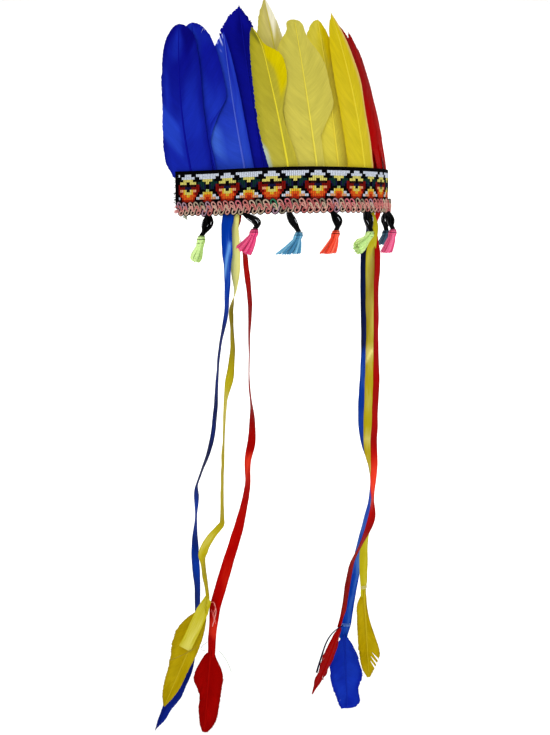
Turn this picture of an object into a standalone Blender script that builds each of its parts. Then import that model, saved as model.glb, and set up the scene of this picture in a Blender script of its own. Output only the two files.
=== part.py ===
# Feathered headdress in metres, +Z up, front of the band facing -Y.
# A patterned woven band runs two thirds of the way round a loop, with a braid
# over its lower edge.  Dyed goose feathers stand behind the band in three
# groups, tassels on black cord hang below the braid, and two sets of three
# satin ribbons hang from inside the band, each with a feather at its end.
# A plain elastic closes the loop at the back.
# The origin is the middle of the loop at the lower edge of the braid.

import math

import bmesh
import bpy
from mathutils import Vector

# Gaps between pieces that touch
CLEARANCE = 0.0003
RIBBON_GAP = 0.0005

# Woven band: its outer face follows a circle, and one end leaves it straight
LOOP_RADIUS = 0.089
BAND_LENGTH = 0.245
BAND_TAIL = 0.040
BAND_HEIGHT = 0.0285
BAND_THICKNESS = 0.0012
SELVEDGE_HEIGHT = 0.003
SELVEDGE_RELIEF = 0.0003
BAND_STEP = 0.004
BAND_SAG = 0.0028

# Braid sewn over the lower edge of the band, with a scalloped edge of loops
BRAID_HEIGHT = 0.0115
BRAID_THICKNESS = 0.0022
BRAID_OVERLAP = 0.0055
BRAID_LOOP = 0.0052
BRAID_LOOP_COLUMNS = 3
BRAID_SCALLOP = 0.0016
BRAID_UPPER_SCALLOP = 0.0008
BRAID_HOLLOW = 0.0006

# Front of the braid from its lower edge up: height is a share of BRAID_HEIGHT,
# and sunk a share of BRAID_HOLLOW
BRAID_COLUMNS = ("height", "sunk")
BRAID_FRONT = ((0.25, 0.0), (0.52, 1.0), (0.80, 0.0))

# Elastic that closes the loop behind the head
ELASTIC_HEIGHT = 0.0105
ELASTIC_THICKNESS = 0.0012
ELASTIC_LAP = 0.012
ELASTIC_BOTTOM = 0.003
ELASTIC_STEPS = 56

# Crown feathers
CROWN_HEIGHT = 0.120
FEATHER_HALF_WIDTH = 0.020
QUILL_TUCK = 0.019
VANE_TUCK = 0.006
QUILL_HALF_WIDTH = 0.0011
QUILL_THICKNESS = 0.0018
VANE_THICKNESS = 0.0008
FEATHER_LAYER = 0.0022
LAYER_FAN = 0.0007
CROWN_LEAN = math.radians(10.0)
CROWN_LEAN_TURN = math.radians(24.0)
CROWN_CLOSE = math.radians(3.0)
CROWN_BOW = 0.004

# Ribbons, and the feathers knotted to their ends
RIBBON_WIDTH = 0.010
RIBBON_THICKNESS = 0.001
RIBBON_DROP = 0.350
RIBBON_SWAY = 0.030
RIBBON_SEAT = 0.0135
RIBBON_STEPS = 27
HANG_TURN = math.radians(-24.0)
KNOT_LENGTH = 0.008
KNOT_WIDTH = 0.006
KNOT_THICKNESS = 0.0044
END_FEATHER_LENGTH = 0.070
END_FEATHER_HALF_WIDTH = 0.013

# Tassels: a bundle of black cord loops, a wound head and a skirt of strands
TASSEL_SPACING = 0.035
TASSEL_INSET = 0.02625
TASSEL_CORD_LENGTH = 0.0165
TASSEL_CORD_RADIUS = 0.0025
TASSEL_CORD_STEPS = 6
TASSEL_CORD_CORNERS = 8
TASSEL_CORD_NECK = 0.62
TASSEL_CORD_GROOVE = 0.18
TASSEL_LENGTH = 0.0205
TASSEL_RADIUS = 0.003
TASSEL_SWING = 0.010
LOCK_COUNT = 6

# Colours, roughness and metallic value of each material
FINISHES = {
    "woven_band": ((0.05, 0.03, 0.04), 0.85, 0.0),
    "braid": ((0.75, 0.42, 0.38), 0.80, 0.0),
    "elastic": ((0.02, 0.02, 0.02), 0.80, 0.0),
    "cord": ((0.01, 0.01, 0.01), 0.45, 0.0),
    "blue_feather": ((0.012, 0.02, 0.42), 0.50, 0.0),
    "yellow_feather": ((0.62, 0.52, 0.06), 0.55, 0.0),
    "red_feather": ((0.48, 0.004, 0.004), 0.50, 0.0),
    "blue_satin": ((0.01, 0.06, 0.55), 0.30, 0.0),
    "yellow_satin": ((0.80, 0.66, 0.05), 0.30, 0.0),
    "red_satin": ((0.65, 0.01, 0.01), 0.30, 0.0),
    "lime_yarn": ((0.55, 0.85, 0.15), 0.75, 0.0),
    "pink_yarn": ((0.85, 0.08, 0.35), 0.75, 0.0),
    "blue_yarn": ((0.05, 0.35, 0.60), 0.75, 0.0),
    "orange_yarn": ((0.90, 0.20, 0.10), 0.75, 0.0),
}

# Crown feathers.  base: place of the quill from the middle of the band, as a
# share of half its length.  drift, left, right: shares of FEATHER_HALF_WIDTH.
# top: share of CROWN_HEIGHT.  blunt and point shape the tip.  The right vane
# keeps its share low up to the share notch of its height, and then opens.
CROWN_COLUMNS = ("name", "colour", "layer", "base", "drift", "top", "left", "right",
                 "blunt", "point", "low", "notch")
CROWN_FEATHERS = (
    ("blue_1", "blue", 0, -0.920, 0.45, 0.910, 0.88, 1.05, 6.0, 0.8, 1.00, 0.00),
    ("blue_2", "blue", 1, -0.760, 0.00, 0.910, 1.00, 1.20, 6.0, 0.7, 0.10, 0.30),
    ("blue_3", "blue", 2, -0.545, 0.05, 0.830, 1.45, 0.35, 3.4, 0.8, 1.00, 0.00),
    ("blue_4", "blue", 4, -0.424, 0.10, 1.010, 1.15, 0.75, 11.0, 1.0, 1.00, 0.00),
    ("yellow_1", "yellow", 0, -0.256, -0.25, 0.835, 0.68, 0.90, 9.0, 0.8, 0.33, 0.45),
    ("yellow_2", "yellow", 3, -0.204, 0.00, 1.030, 0.80, 0.60, 9.0, 1.0, 1.00, 0.00),
    ("yellow_3", "yellow", 1, -0.066, 0.20, 0.893, 0.95, 1.15, 8.0, 0.5, 0.20, 0.30),
    ("yellow_4", "yellow", 2, 0.105, 0.45, 0.912, 1.05, 0.75, 6.0, 0.5, 1.00, 0.00),
    ("yellow_5", "yellow", 0, 0.310, -0.18, 0.958, 0.95, 0.86, 4.9, 1.0, 1.00, 0.00),
    ("red_1", "red", 2, 0.490, 0.20, 0.920, 0.80, 0.80, 6.0, 1.0, 1.00, 0.00),
    ("red_2", "red", 1, 0.645, 0.22, 0.890, 0.80, 0.85, 4.0, 1.0, 1.00, 0.00),
    ("red_3", "red", 0, 0.790, -0.10, 0.800, 0.80, 0.85, 6.0, 0.6, 1.00, 0.00),
    ("red_4", "red", 2, 0.930, -0.30, 0.770, 0.75, 0.60, 6.0, 0.6, 1.00, 0.00),
)

# Heights of a vane's sections above the band, as shares of the vane's length
VANE_ROWS = (0.14, 0.24, 0.36, 0.48, 0.61, 0.74, 0.85, 0.93, 0.985)
CROWN_ROOT_SHARE = 0.85
VANE_ROOT_LENGTH = 0.22
NOTCH_LENGTH = 0.24
TIP_HALF_WIDTH = 0.0004
VANE_EDGE_SHARE = 0.6
QUILL_FULL_SHARE = 0.8
QUILL_TAPER = 0.55

# Ribbons.  seat: place on the band as a share of half its length, and layer
# counts the ribbons from the band inward.
RIBBON_COLUMNS = ("name", "colour", "seat", "layer", "drop")
RIBBONS = (
    ("left_blue", "blue", -0.629, 0, 0.975),
    ("left_yellow", "yellow", -0.580, 1, 0.868),
    ("left_red", "red", -0.539, 2, 0.975),
    ("right_blue", "blue", 0.298, 0, 0.975),
    ("right_yellow", "yellow", 0.398, 0, 0.868),
    ("right_red", "red", 0.494, 0, 0.930),
)

# Ribbon routes below the band.  drop: share of RIBBON_DROP.  side and back:
# shares of RIBBON_SWAY, away from the seat, across and along the hanging
# direction.  turn: degrees between the ribbon's width and that side direction.
ROUTE_COLUMNS = ("drop", "side", "back", "turn")
ROUTES = {
    "left_blue": (
        (0.026, -0.08, 0.09, -34), (0.080, -0.09, 0.15, -33), (0.156, -0.11, 0.22, -52),
        (0.234, -0.15, 0.29, -83), (0.289, -0.28, 0.29, -77), (0.379, -0.42, 0.29, -72),
        (0.470, -0.50, 0.32, -67), (0.527, -0.67, 0.38, -72), (0.603, -0.94, 0.48, -76),
        (0.784, -1.03, 0.62, -44), (0.879, -0.99, 0.68, -50), (0.988, -1.00, 0.70, -66),
    ),
    "left_yellow": (
        (0.026, -0.10, 0.16, -41), (0.080, -0.08, 0.19, -44), (0.123, -0.09, 0.19, -47),
        (0.155, -0.10, 0.12, -81), (0.209, -0.20, -0.01, -108), (0.285, -0.22, -0.14, -117),
        (0.354, -0.23, -0.21, -128), (0.404, -0.35, -0.28, -103), (0.617, -0.45, -0.28, -101),
        (0.675, -0.47, -0.28, -113), (0.712, -0.80, -0.28, -123), (0.750, -1.04, -0.28, -123),
        (0.848, -0.86, -0.28, -108), (0.880, -0.91, -0.28, -118),
    ),
    "left_red": (
        (0.026, -0.10, 0.20, -53), (0.058, -0.06, 0.24, -63), (0.101, 0.02, 0.20, -63),
        (0.188, 0.11, 0.07, -68), (0.275, 0.09, 0.00, -79), (0.375, 0.09, 0.00, -79),
        (0.431, 0.16, 0.00, -72), (0.498, 0.14, 0.00, -52), (0.544, 0.04, 0.00, -62),
        (0.601, 0.03, 0.00, -76), (0.681, -0.16, 0.00, -62), (0.774, -0.48, 0.00, -51),
        (0.880, -0.83, 0.00, -51), (0.980, -0.95, 0.00, -66),
    ),
    "right_blue": (
        (0.026, -0.02, 0.20, 55), (0.093, 0.03, 0.50, 67), (0.312, 0.09, 0.65, 71),
        (0.430, 0.00, 0.72, 66), (0.490, -0.04, 0.72, 66), (0.573, 0.13, 0.72, 71),
        (0.711, 0.20, 0.72, 71), (0.779, 0.01, 0.72, 54), (0.891, -0.16, 0.72, 54),
        (0.986, -0.30, 0.72, 54),
    ),
    "right_yellow": (
        (0.027, 0.00, 0.08, 55), (0.093, -0.02, 0.12, 45), (0.297, 0.01, 0.00, 44),
        (0.493, -0.02, -0.02, 37), (0.583, 0.04, -0.02, 76), (0.659, 0.03, -0.02, 78),
        (0.740, -0.04, -0.02, 78), (0.818, 0.02, -0.02, 78), (0.880, -0.02, -0.02, 71),
    ),
    "right_red": (
        (0.027, 0.03, -0.01, 63), (0.094, 0.03, -0.11, 67), (0.171, -0.04, -0.38, 69),
        (0.304, -0.05, -0.65, 69), (0.509, -0.02, -0.75, 69), (0.567, -0.04, -0.75, 71),
        (0.602, -0.12, -0.75, 76), (0.696, -0.15, -0.75, 44), (0.755, -0.41, -0.75, 66),
        (0.805, -0.68, -0.75, 76), (0.911, -0.85, -0.75, 71), (0.950, -0.96, -0.75, 71),
    ),
}

# Share of RIBBON_DROP over which a ribbon's direction is taken
ROUTE_STEP = 0.01

# Knot at a ribbon's end: along is a share of KNOT_LENGTH, width of KNOT_WIDTH
# and thickness of KNOT_THICKNESS
KNOT_COLUMNS = ("along", "width", "thickness")
KNOT_ROWS = ((0.30, 0.7, 0.5), (0.50, 1.0, 1.0), (0.85, 1.0, 1.0), (1.0, 0.6, 0.6))

# Feathers at the ribbon ends.  length: share of END_FEATHER_LENGTH.  lean:
# degrees from straight down toward the side direction.  left and right: shares
# of END_FEATHER_HALF_WIDTH.  bend: sideways bow as a share of the length.
END_COLUMNS = ("name", "length", "lean", "turn", "left", "right", "blunt", "point", "bend")
END_FEATHERS = (
    ("left_blue", 1.24, -28, -72, 0.95, 0.95, 3.0, 0.8, 0.08),
    ("left_yellow", 1.20, -21, -15, 1.00, 0.70, 6.0, 0.8, 0.00),
    ("left_red", 0.98, -5, -10, 1.05, 1.00, 4.0, 0.8, 0.00),
    ("right_blue", 0.96, 4, 20, 1.25, 1.15, 5.0, 0.6, 0.00),
    ("right_yellow", 1.05, 6, 30, 0.75, 0.85, 4.0, 0.8, 0.00),
    ("right_red", 0.90, -20, 68, 0.95, 0.95, 2.5, 0.8, 0.03),
)
END_QUILL_SHARE = 0.08
END_ROOT_SHARE = 0.25
END_ROWS = (0.0, 0.12, 0.28, 0.44, 0.60, 0.74, 0.86, 0.94, 0.985)
END_CUP = 0.06

# Tassels from the left end of the band.  cord and drop: shares of
# TASSEL_CORD_LENGTH and TASSEL_LENGTH, both straight down.  bulge, head and tip:
# places of the cord's bend, the tassel's head and its end along the band, and
# out and tip_out those of head and end away from it, all from the seat as shares
# of TASSEL_SWING.  splay: sideways stretch of the skirt's end.
TASSEL_COLUMNS = ("name", "colour", "cord", "drop", "bulge", "head", "tip", "out", "tip_out", "splay")
TASSELS = (
    ("1", "lime", 1.00, 0.94, 0.00, -0.66, -1.15, 0.00, 0.00, 0.95),
    ("2", "pink", 0.60, 1.00, 0.60, 0.40, -0.70, 0.10, 0.05, 1.20),
    ("3", "blue", 0.80, 0.80, 0.70, 0.60, -0.45, 0.10, 0.05, 2.00),
    ("4", "orange", 0.55, 1.02, 0.35, 0.05, -0.95, 0.20, 0.00, 1.45),
    ("5", "lime", 0.75, 0.87, 0.20, -0.20, -1.35, 0.20, 0.05, 1.20),
    ("6", "pink", 0.63, 1.01, 0.35, 0.27, -0.20, 0.65, 0.05, 1.10),
    ("7", "blue", 0.85, 0.85, 0.30, 0.10, -0.20, 0.05, 0.00, 1.00),
)

# Rows of the head and skirt: along is a share of the tassel's drop, radius a
# share of TASSEL_RADIUS, and lock the depth of the grooves between the locks
TASSEL_ROW_COLUMNS = ("along", "radius", "lock")
SKIRT_START = 0.30
SKIRT_BEND = 1.5
SKIRT_TILT = 0.5
TASSEL_ROWS = (
    (0.00, 0.60, 0.00),
    (0.08, 1.00, 0.00),
    (0.22, 1.05, 0.00),
    (0.30, 0.80, 0.05),
    (0.45, 1.05, 0.14),
    (0.75, 1.25, 0.20),
    (1.00, 1.35, 0.24),
)

# Worked-out heights
BAND_BOTTOM = BRAID_HEIGHT - BRAID_OVERLAP
BAND_TOP = BAND_BOTTOM + BAND_HEIGHT
QUILL_ROOT = BAND_TOP - QUILL_TUCK
VANE_ROOT = BAND_TOP - VANE_TUCK
HALF_BAND = BAND_LENGTH / 2


def clear_scene():
    """Remove every object that a new file opens with."""
    for item in list(bpy.data.objects):
        bpy.data.objects.remove(item, do_unlink=True)


def smooth(share):
    """Ease from 0 to 1, flat at both ends."""
    share = min(max(share, 0.0), 1.0)
    return share * share * (3.0 - 2.0 * share)


def material(name):
    """Principled material with the named finish."""
    found = bpy.data.materials.get(name)
    if found:
        return found
    colour, roughness, metallic = FINISHES[name]
    made = bpy.data.materials.new(name)
    made.use_nodes = True
    shader = made.node_tree.nodes["Principled BSDF"]
    shader.inputs["Base Color"].default_value = (*colour, 1.0)
    shader.inputs["Roughness"].default_value = roughness
    shader.inputs["Metallic"].default_value = metallic
    made.diffuse_color = (*colour, 1.0)
    return made


def loft(name, rings, finish):
    """Closed solid through rings of points, each ring with the same count."""
    mesh = bmesh.new()
    loops = [[mesh.verts.new(point) for point in ring] for ring in rings]
    for lower, upper in zip(loops, loops[1:]):
        for index in range(len(lower)):
            after = (index + 1) % len(lower)
            mesh.faces.new((lower[index], lower[after], upper[after], upper[index]))
    mesh.faces.new(loops[0])
    mesh.faces.new(loops[-1])
    bmesh.ops.recalc_face_normals(mesh, faces=mesh.faces)
    data = bpy.data.meshes.new(name)
    mesh.to_mesh(data)
    mesh.free()
    data.shade_smooth()
    data.set_sharp_from_angle(angle=math.radians(40))
    made = bpy.data.objects.new(name, data)
    made.data.materials.append(material(finish))
    bpy.context.scene.collection.objects.link(made)
    return made


def band_place(along):
    """Point on the band's outer face, with the outward and onward directions.

    along is the length from the middle of the band, to +X.  Past the start of
    the tail on the -X side the band runs straight on.  That half sags.
    """
    on_loop = max(along, BAND_TAIL - HALF_BAND)
    angle = on_loop / LOOP_RADIUS
    outward = Vector((math.sin(angle), -math.cos(angle), 0.0))
    onward = Vector((math.cos(angle), math.sin(angle), 0.0))
    place = outward * LOOP_RADIUS + onward * (along - on_loop)
    place.z = -BAND_SAG * smooth(-along / HALF_BAND)
    return place, outward, onward


def band_strip(name, finish, sections):
    """Solid that follows the band through evenly spaced (out, height) sections."""
    rings = []
    for index, section in enumerate(sections):
        place, outward, _ = band_place(HALF_BAND * (2 * index / (len(sections) - 1) - 1))
        rings.append([place + outward * out + Vector((0, 0, height)) for out, height in section])
    loft(name, rings, finish)


def build_band():
    """Woven band with a raised selvedge along its top edge."""
    steps = round(BAND_LENGTH / BAND_STEP)
    selvedge = BAND_TOP - SELVEDGE_HEIGHT
    profile = (
        (-BAND_THICKNESS, BAND_BOTTOM),
        (0.0, BAND_BOTTOM),
        (0.0, selvedge),
        (SELVEDGE_RELIEF, selvedge + SELVEDGE_RELIEF),
        (SELVEDGE_RELIEF, BAND_TOP - SELVEDGE_RELIEF),
        (0.0, BAND_TOP),
        (-BAND_THICKNESS, BAND_TOP),
    )
    band_strip("woven_band", "woven_band", [profile] * (steps + 1))


def build_braid():
    """Braid with a scallop below each of its loops and a hollow down its middle."""
    loops = round(BAND_LENGTH / BRAID_LOOP)
    front = SELVEDGE_RELIEF + BRAID_THICKNESS
    sections = []
    for column in range(BRAID_LOOP_COLUMNS * loops + 1):
        notch = 1.0 - math.sin(math.pi * (column % BRAID_LOOP_COLUMNS) / BRAID_LOOP_COLUMNS)
        low = BRAID_SCALLOP * notch
        section = [(CLEARANCE, low), (front - BRAID_HOLLOW, low)]
        for height, sunk in BRAID_FRONT:
            section.append((front - BRAID_HOLLOW * sunk, BRAID_HEIGHT * height))
        section.append((CLEARANCE, BRAID_HEIGHT - BRAID_UPPER_SCALLOP * notch))
        sections.append(section)
    band_strip("braid_trim", "braid", sections)


def ribbon_inset(layer):
    """Depth of a ribbon's middle behind the band's outer face."""
    return BAND_THICKNESS + RIBBON_GAP + RIBBON_THICKNESS / 2 + layer * (RIBBON_THICKNESS + RIBBON_GAP)


def build_elastic():
    """Elastic from behind the left ribbons round the back to the band's right end."""
    layers = max(row[RIBBON_COLUMNS.index("layer")] for row in RIBBONS) + 1
    left_inset = ribbon_inset(layers) + (ELASTIC_THICKNESS - RIBBON_THICKNESS) / 2
    right_inset = BAND_THICKNESS + CLEARANCE + ELASTIC_THICKNESS / 2
    start = (BAND_TAIL - HALF_BAND + ELASTIC_LAP) / LOOP_RADIUS
    end = (HALF_BAND - ELASTIC_LAP) / LOOP_RADIUS - 2 * math.pi
    rings = []
    for step in range(ELASTIC_STEPS + 1):
        share = step / ELASTIC_STEPS
        angle = start + (end - start) * share
        outward = Vector((math.sin(angle), -math.cos(angle), 0.0))
        middle = LOOP_RADIUS - left_inset + (left_inset - right_inset) * smooth(share)
        rings.append([
            outward * (middle + side * ELASTIC_THICKNESS / 2) + Vector((0, 0, height))
            for side, height in (
                (-1, ELASTIC_BOTTOM),
                (1, ELASTIC_BOTTOM),
                (1, ELASTIC_BOTTOM + ELASTIC_HEIGHT),
                (-1, ELASTIC_BOTTOM + ELASTIC_HEIGHT),
            )
        ])
    loft("back_elastic", rings, "elastic")


def crown_point(along, height, inset):
    """Point of the crown, inset behind the band's inner face.

    Above the band the whole crown leans to the side and closes in a little,
    so feathers in different layers stay clear of each other.
    """
    place, outward, _ = band_place(along)
    rise = max(height - BAND_TOP, 0.0)
    share = rise / CROWN_HEIGHT
    depth = BAND_THICKNESS + CLEARANCE + inset + rise * math.tan(CROWN_CLOSE)
    depth -= CROWN_BOW * 4 * share * (1 - share)
    lean = Vector((-math.cos(CROWN_LEAN_TURN), math.sin(CROWN_LEAN_TURN), 0.0))
    place = place - outward * depth + lean * (rise * math.tan(CROWN_LEAN))
    return place + Vector((0, 0, height))


def vane_width(share, root_share, blunt, point, low=1.0, notch=0.0):
    """Half width of a vane at a share of its height, as a share of its widest."""
    root = root_share + (1 - root_share) * smooth(share / VANE_ROOT_LENGTH)
    tip = (1 - share ** blunt) ** point
    step = low + (1 - low) * smooth((share - notch) / NOTCH_LENGTH) if notch else 1.0
    return root * tip * step


def feather_section(left, right, shaft):
    """Points (across, raise) of one section: thin vanes either side of a shaft.

    shaft scales the shaft's ridge, which stands out on both faces.
    """
    ridge = shaft * QUILL_THICKNESS / 2
    foot = min(VANE_THICKNESS / 2, ridge)
    edge = foot * VANE_EDGE_SHARE
    inner = min(QUILL_HALF_WIDTH, left / 2, right / 2)
    upper = ((-left, edge), (-inner, foot), (0.0, ridge), (inner, foot), (right, edge))
    return list(upper) + [(across, -rise) for across, rise in reversed(upper)]


def feather(name, finish, rows, place):
    """Feather through rows of (share, left, right, shaft), put there by place."""
    rings = []
    for share, left, right, shaft in rows:
        rings.append([place(share, across, rise) for across, rise in feather_section(left, right, shaft)])
    return loft(name, rings, finish)


def feather_rows(quill, vane_rows, root_share, left, right, blunt, point, low=1.0, notch=0.0):
    """Rows of a feather whose bare quill takes the share quill of its length."""
    rows = [(share, QUILL_HALF_WIDTH, QUILL_HALF_WIDTH, 1.0) for share in (0.0, quill * QUILL_FULL_SHARE)]
    for share in vane_rows:
        rows.append((
            quill + (1 - quill) * share,
            max(left * vane_width(share, root_share, blunt, point), TIP_HALF_WIDTH),
            max(right * vane_width(share, root_share, blunt, point, low, notch), TIP_HALF_WIDTH),
            1.0 - QUILL_TAPER * share,
        ))
    return rows


def build_crown():
    """Feathers that stand behind the band."""
    for row in CROWN_FEATHERS:
        data = dict(zip(CROWN_COLUMNS, row))
        base = data["base"] * HALF_BAND
        drift = data["drift"] * FEATHER_HALF_WIDTH
        tip = BAND_TOP + data["top"] * CROWN_HEIGHT

        def place(share, across, rise, data=data, base=base, drift=drift, tip=tip):
            height = QUILL_ROOT + (tip - QUILL_ROOT) * share
            layer = data["layer"] * (
                FEATHER_LAYER * smooth((height - QUILL_ROOT) / (BAND_TOP - QUILL_ROOT))
                + LAYER_FAN * max(height - BAND_TOP, 0.0) / CROWN_HEIGHT
            )
            along = base + drift * share * share + across
            return crown_point(along, height, layer + QUILL_THICKNESS / 2 - rise)

        quill = (VANE_ROOT - QUILL_ROOT) / (tip - QUILL_ROOT)
        vane_rows = (0.0, VANE_TUCK / (tip - VANE_ROOT)) + VANE_ROWS
        rows = feather_rows(
            quill, vane_rows, CROWN_ROOT_SHARE,
            data["left"] * FEATHER_HALF_WIDTH, data["right"] * FEATHER_HALF_WIDTH,
            data["blunt"], data["point"], data["low"], data["notch"],
        )
        feather("feather_" + data["name"], data["colour"] + "_feather", rows, place)


def follow(rows, share):
    """Columns after the first, on a smooth curve through rows, at share."""
    share = min(max(share, rows[0][0]), rows[-1][0])
    index = 0
    while index < len(rows) - 2 and share > rows[index + 1][0]:
        index += 1

    def slope(at, column):
        if at == 0:
            return 0.0
        if at == len(rows) - 1:
            return (rows[at][column] - rows[at - 1][column]) / (rows[at][0] - rows[at - 1][0])
        return (rows[at + 1][column] - rows[at - 1][column]) / (rows[at + 1][0] - rows[at - 1][0])

    start, end = rows[index], rows[index + 1]
    span = end[0] - start[0]
    part = (share - start[0]) / span
    columns = []
    for column in range(1, len(start)):
        change = end[column] - start[column]
        enter = slope(index, column) * span
        leave = slope(index + 1, column) * span
        curve = (enter * part * (1 - part) ** 2 - leave * part ** 2 * (1 - part)
                 + change * (3 * part ** 2 - 2 * part ** 3))
        columns.append(start[column] + curve)
    return columns


def hanging(side, back, height=0.0):
    """Vector with parts along the hanging side and back directions."""
    return Vector((
        side * math.cos(HANG_TURN) - back * math.sin(HANG_TURN),
        side * math.sin(HANG_TURN) + back * math.cos(HANG_TURN),
        height,
    ))


def ribbon_seat(data):
    """Middle of a ribbon where it lies on the band, and its turn there."""
    along = data["seat"] * HALF_BAND
    place, outward, onward = band_place(along)
    turn = math.atan2(onward.y, onward.x) - HANG_TURN
    return place - outward * ribbon_inset(data["layer"]), math.degrees(turn)


def ribbon_path(data):
    """Function that gives a ribbon's middle and width direction at a drop."""
    seat, seat_turn = ribbon_seat(data)
    rows = ((0.0, 0.0, 0.0, seat_turn),) + ROUTES[data["name"]]

    def at(drop):
        side, back, turn = follow(rows, drop)
        middle = seat + hanging(side * RIBBON_SWAY, back * RIBBON_SWAY, -drop * RIBBON_DROP)
        turn = math.radians(turn)
        return middle, hanging(math.cos(turn), math.sin(turn))

    return at


def strip_ring(middle, width_way, path_way, width, thickness):
    """Rectangular section of a strip, square to its path."""
    width_way = (width_way - path_way * width_way.dot(path_way)).normalized()
    thick_way = path_way.cross(width_way).normalized()
    return [
        middle + width_way * (side * width / 2) + thick_way * (face * thickness / 2)
        for side, face in ((-1, -1), (1, -1), (1, 1), (-1, 1))
    ]


def knot_frame(data):
    """Foot of a ribbon's flat length, its width direction and its way down."""
    at = ribbon_path(data)
    foot, width_way = at(data["drop"])
    before, _ = at(data["drop"] - ROUTE_STEP)
    return foot, width_way, (foot - before).normalized()


def build_ribbon(data):
    """Ribbon from its seat behind the band down to the knot at its end."""
    at = ribbon_path(data)
    seat, width_way = at(0.0)
    down = Vector((0, 0, -1))
    rings = [strip_ring(seat + Vector((0, 0, RIBBON_SEAT)), width_way, down, RIBBON_WIDTH, RIBBON_THICKNESS)]
    for step in range(RIBBON_STEPS + 1):
        drop = data["drop"] * step / RIBBON_STEPS
        middle, width_way = at(drop)
        above, _ = at(drop - ROUTE_STEP)
        below, _ = at(drop + ROUTE_STEP)
        path_way = (below - above).normalized() if step else down
        rings.append(strip_ring(middle, width_way, path_way, RIBBON_WIDTH, RIBBON_THICKNESS))
    foot, width_way, path_way = knot_frame(data)
    for along, width, thickness in KNOT_ROWS:
        middle = foot + path_way * (along * KNOT_LENGTH)
        rings.append(strip_ring(middle, width_way, path_way, width * KNOT_WIDTH, thickness * KNOT_THICKNESS))
    loft("ribbon_" + data["name"], rings, data["colour"] + "_satin")


def build_end_feather(data, shape):
    """Feather that hangs from the knot at a ribbon's end."""
    foot, _, path_way = knot_frame(data)
    length = shape["length"] * END_FEATHER_LENGTH
    lean = math.radians(shape["lean"])
    turn = math.radians(shape["turn"])
    axis = hanging(math.sin(lean), 0.0, -math.cos(lean))
    across_way = hanging(math.cos(turn), math.sin(turn))
    across_way = (across_way - axis * across_way.dot(axis)).normalized()
    face_way = axis.cross(across_way)
    bow_way = hanging(math.cos(lean), 0.0, math.sin(lean))
    tilt_reach = QUILL_HALF_WIDTH * axis.cross(path_way).length
    root = foot + path_way * (KNOT_LENGTH + CLEARANCE + tilt_reach)

    def place(share, across, rise):
        bow = shape["bend"] * length * 4 * share * (1 - share)
        cup = END_CUP * abs(across)
        return root + axis * (share * length) + bow_way * bow + across_way * across + face_way * (rise - cup)

    rows = feather_rows(
        END_QUILL_SHARE, END_ROWS, END_ROOT_SHARE,
        shape["left"] * END_FEATHER_HALF_WIDTH, shape["right"] * END_FEATHER_HALF_WIDTH,
        shape["blunt"], shape["point"],
    )
    feather("end_feather_" + data["name"], data["colour"] + "_feather", rows, place)


def build_ribbons():
    """Ribbons with the feathers at their ends."""
    shapes = {row[0]: dict(zip(END_COLUMNS, row)) for row in END_FEATHERS}
    for row in RIBBONS:
        data = dict(zip(RIBBON_COLUMNS, row))
        build_ribbon(data)
        build_end_feather(data, shapes[data["name"]])


def tube_ring(middle, path_way, outward, radii, stretch=1.0):
    """Ring of points round a path, one for each radius, stretched sideways."""
    side_way = outward.cross(path_way).normalized()
    out_way = path_way.cross(side_way).normalized()
    count = len(radii)
    return [
        middle
        + side_way * (stretch * radius * math.cos(2 * math.pi * index / count))
        + out_way * (radius * math.sin(2 * math.pi * index / count))
        for index, radius in enumerate(radii)
    ]


def build_tassel(index, data):
    """Cord bundle below the braid, and the tassel that hangs from it."""
    place, outward, onward = band_place(TASSEL_INSET - HALF_BAND + index * TASSEL_SPACING)
    down = Vector((0, 0, -1))
    seat = place + outward * (SELVEDGE_RELIEF + BRAID_THICKNESS / 2) + down * CLEARANCE
    bend = onward * (data["bulge"] * TASSEL_SWING)
    head = (onward * data["head"] + outward * data["out"]) * TASSEL_SWING
    tip = (onward * data["tip"] + outward * data["tip_out"]) * TASSEL_SWING
    cord_length = data["cord"] * TASSEL_CORD_LENGTH
    drop = data["drop"] * TASSEL_LENGTH

    rings = []
    for step in range(TASSEL_CORD_STEPS + 1):
        share = step / TASSEL_CORD_STEPS
        middle = seat + bend * (4 * share * (1 - share)) + head * share ** 2 + down * (share * cord_length)
        path_way = bend * (4 - 8 * share) + head * (2 * share) + down * cord_length
        if step in (0, TASSEL_CORD_STEPS):
            path_way = down
        swell = TASSEL_CORD_NECK + (1 - TASSEL_CORD_NECK) * math.sin(math.pi * share)
        radii = [
            TASSEL_CORD_RADIUS * swell * (1 - TASSEL_CORD_GROOVE * (corner % 2))
            for corner in range(TASSEL_CORD_CORNERS)
        ]
        rings.append(tube_ring(middle, path_way.normalized(), outward, radii))
    loft("tassel_cord_" + data["name"], rings, "cord")

    top = seat + head + down * (cord_length + CLEARANCE)
    rings = []
    for along, radius, lock in TASSEL_ROWS:
        middle = top + (tip - head) * along ** SKIRT_BEND + down * (along * drop)
        path_way = (tip - head) * (SKIRT_TILT * along) + down * drop
        stretch = 1 + (data["splay"] - 1) * max(along - SKIRT_START, 0.0) / (1 - SKIRT_START)
        radii = [TASSEL_RADIUS * radius * (1 - lock * (corner % 2)) for corner in range(2 * LOCK_COUNT)]
        rings.append(tube_ring(middle, path_way.normalized(), outward, radii, stretch))
    loft("tassel_" + data["name"], rings, data["colour"] + "_yarn")


def build_tassels():
    """Tassels along the lower edge of the braid."""
    for index, row in enumerate(TASSELS):
        build_tassel(index, dict(zip(TASSEL_COLUMNS, row)))


clear_scene()
build_band()
build_braid()
build_elastic()
build_crown()
build_ribbons()
build_tassels()
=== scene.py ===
# %% [markdown]
# # A feathered costume headdress
#
# This lesson dresses a plain solid model of a headdress: a woven band with a
# braid and tassels, a crown of dyed feathers, and satin ribbons that end in
# feathers.  Every cell makes one kind of piece the way it is made by hand:
# first flat on the table, and then laid onto its place on the head loop.

# %% Load the plain model
import math
import random

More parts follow.
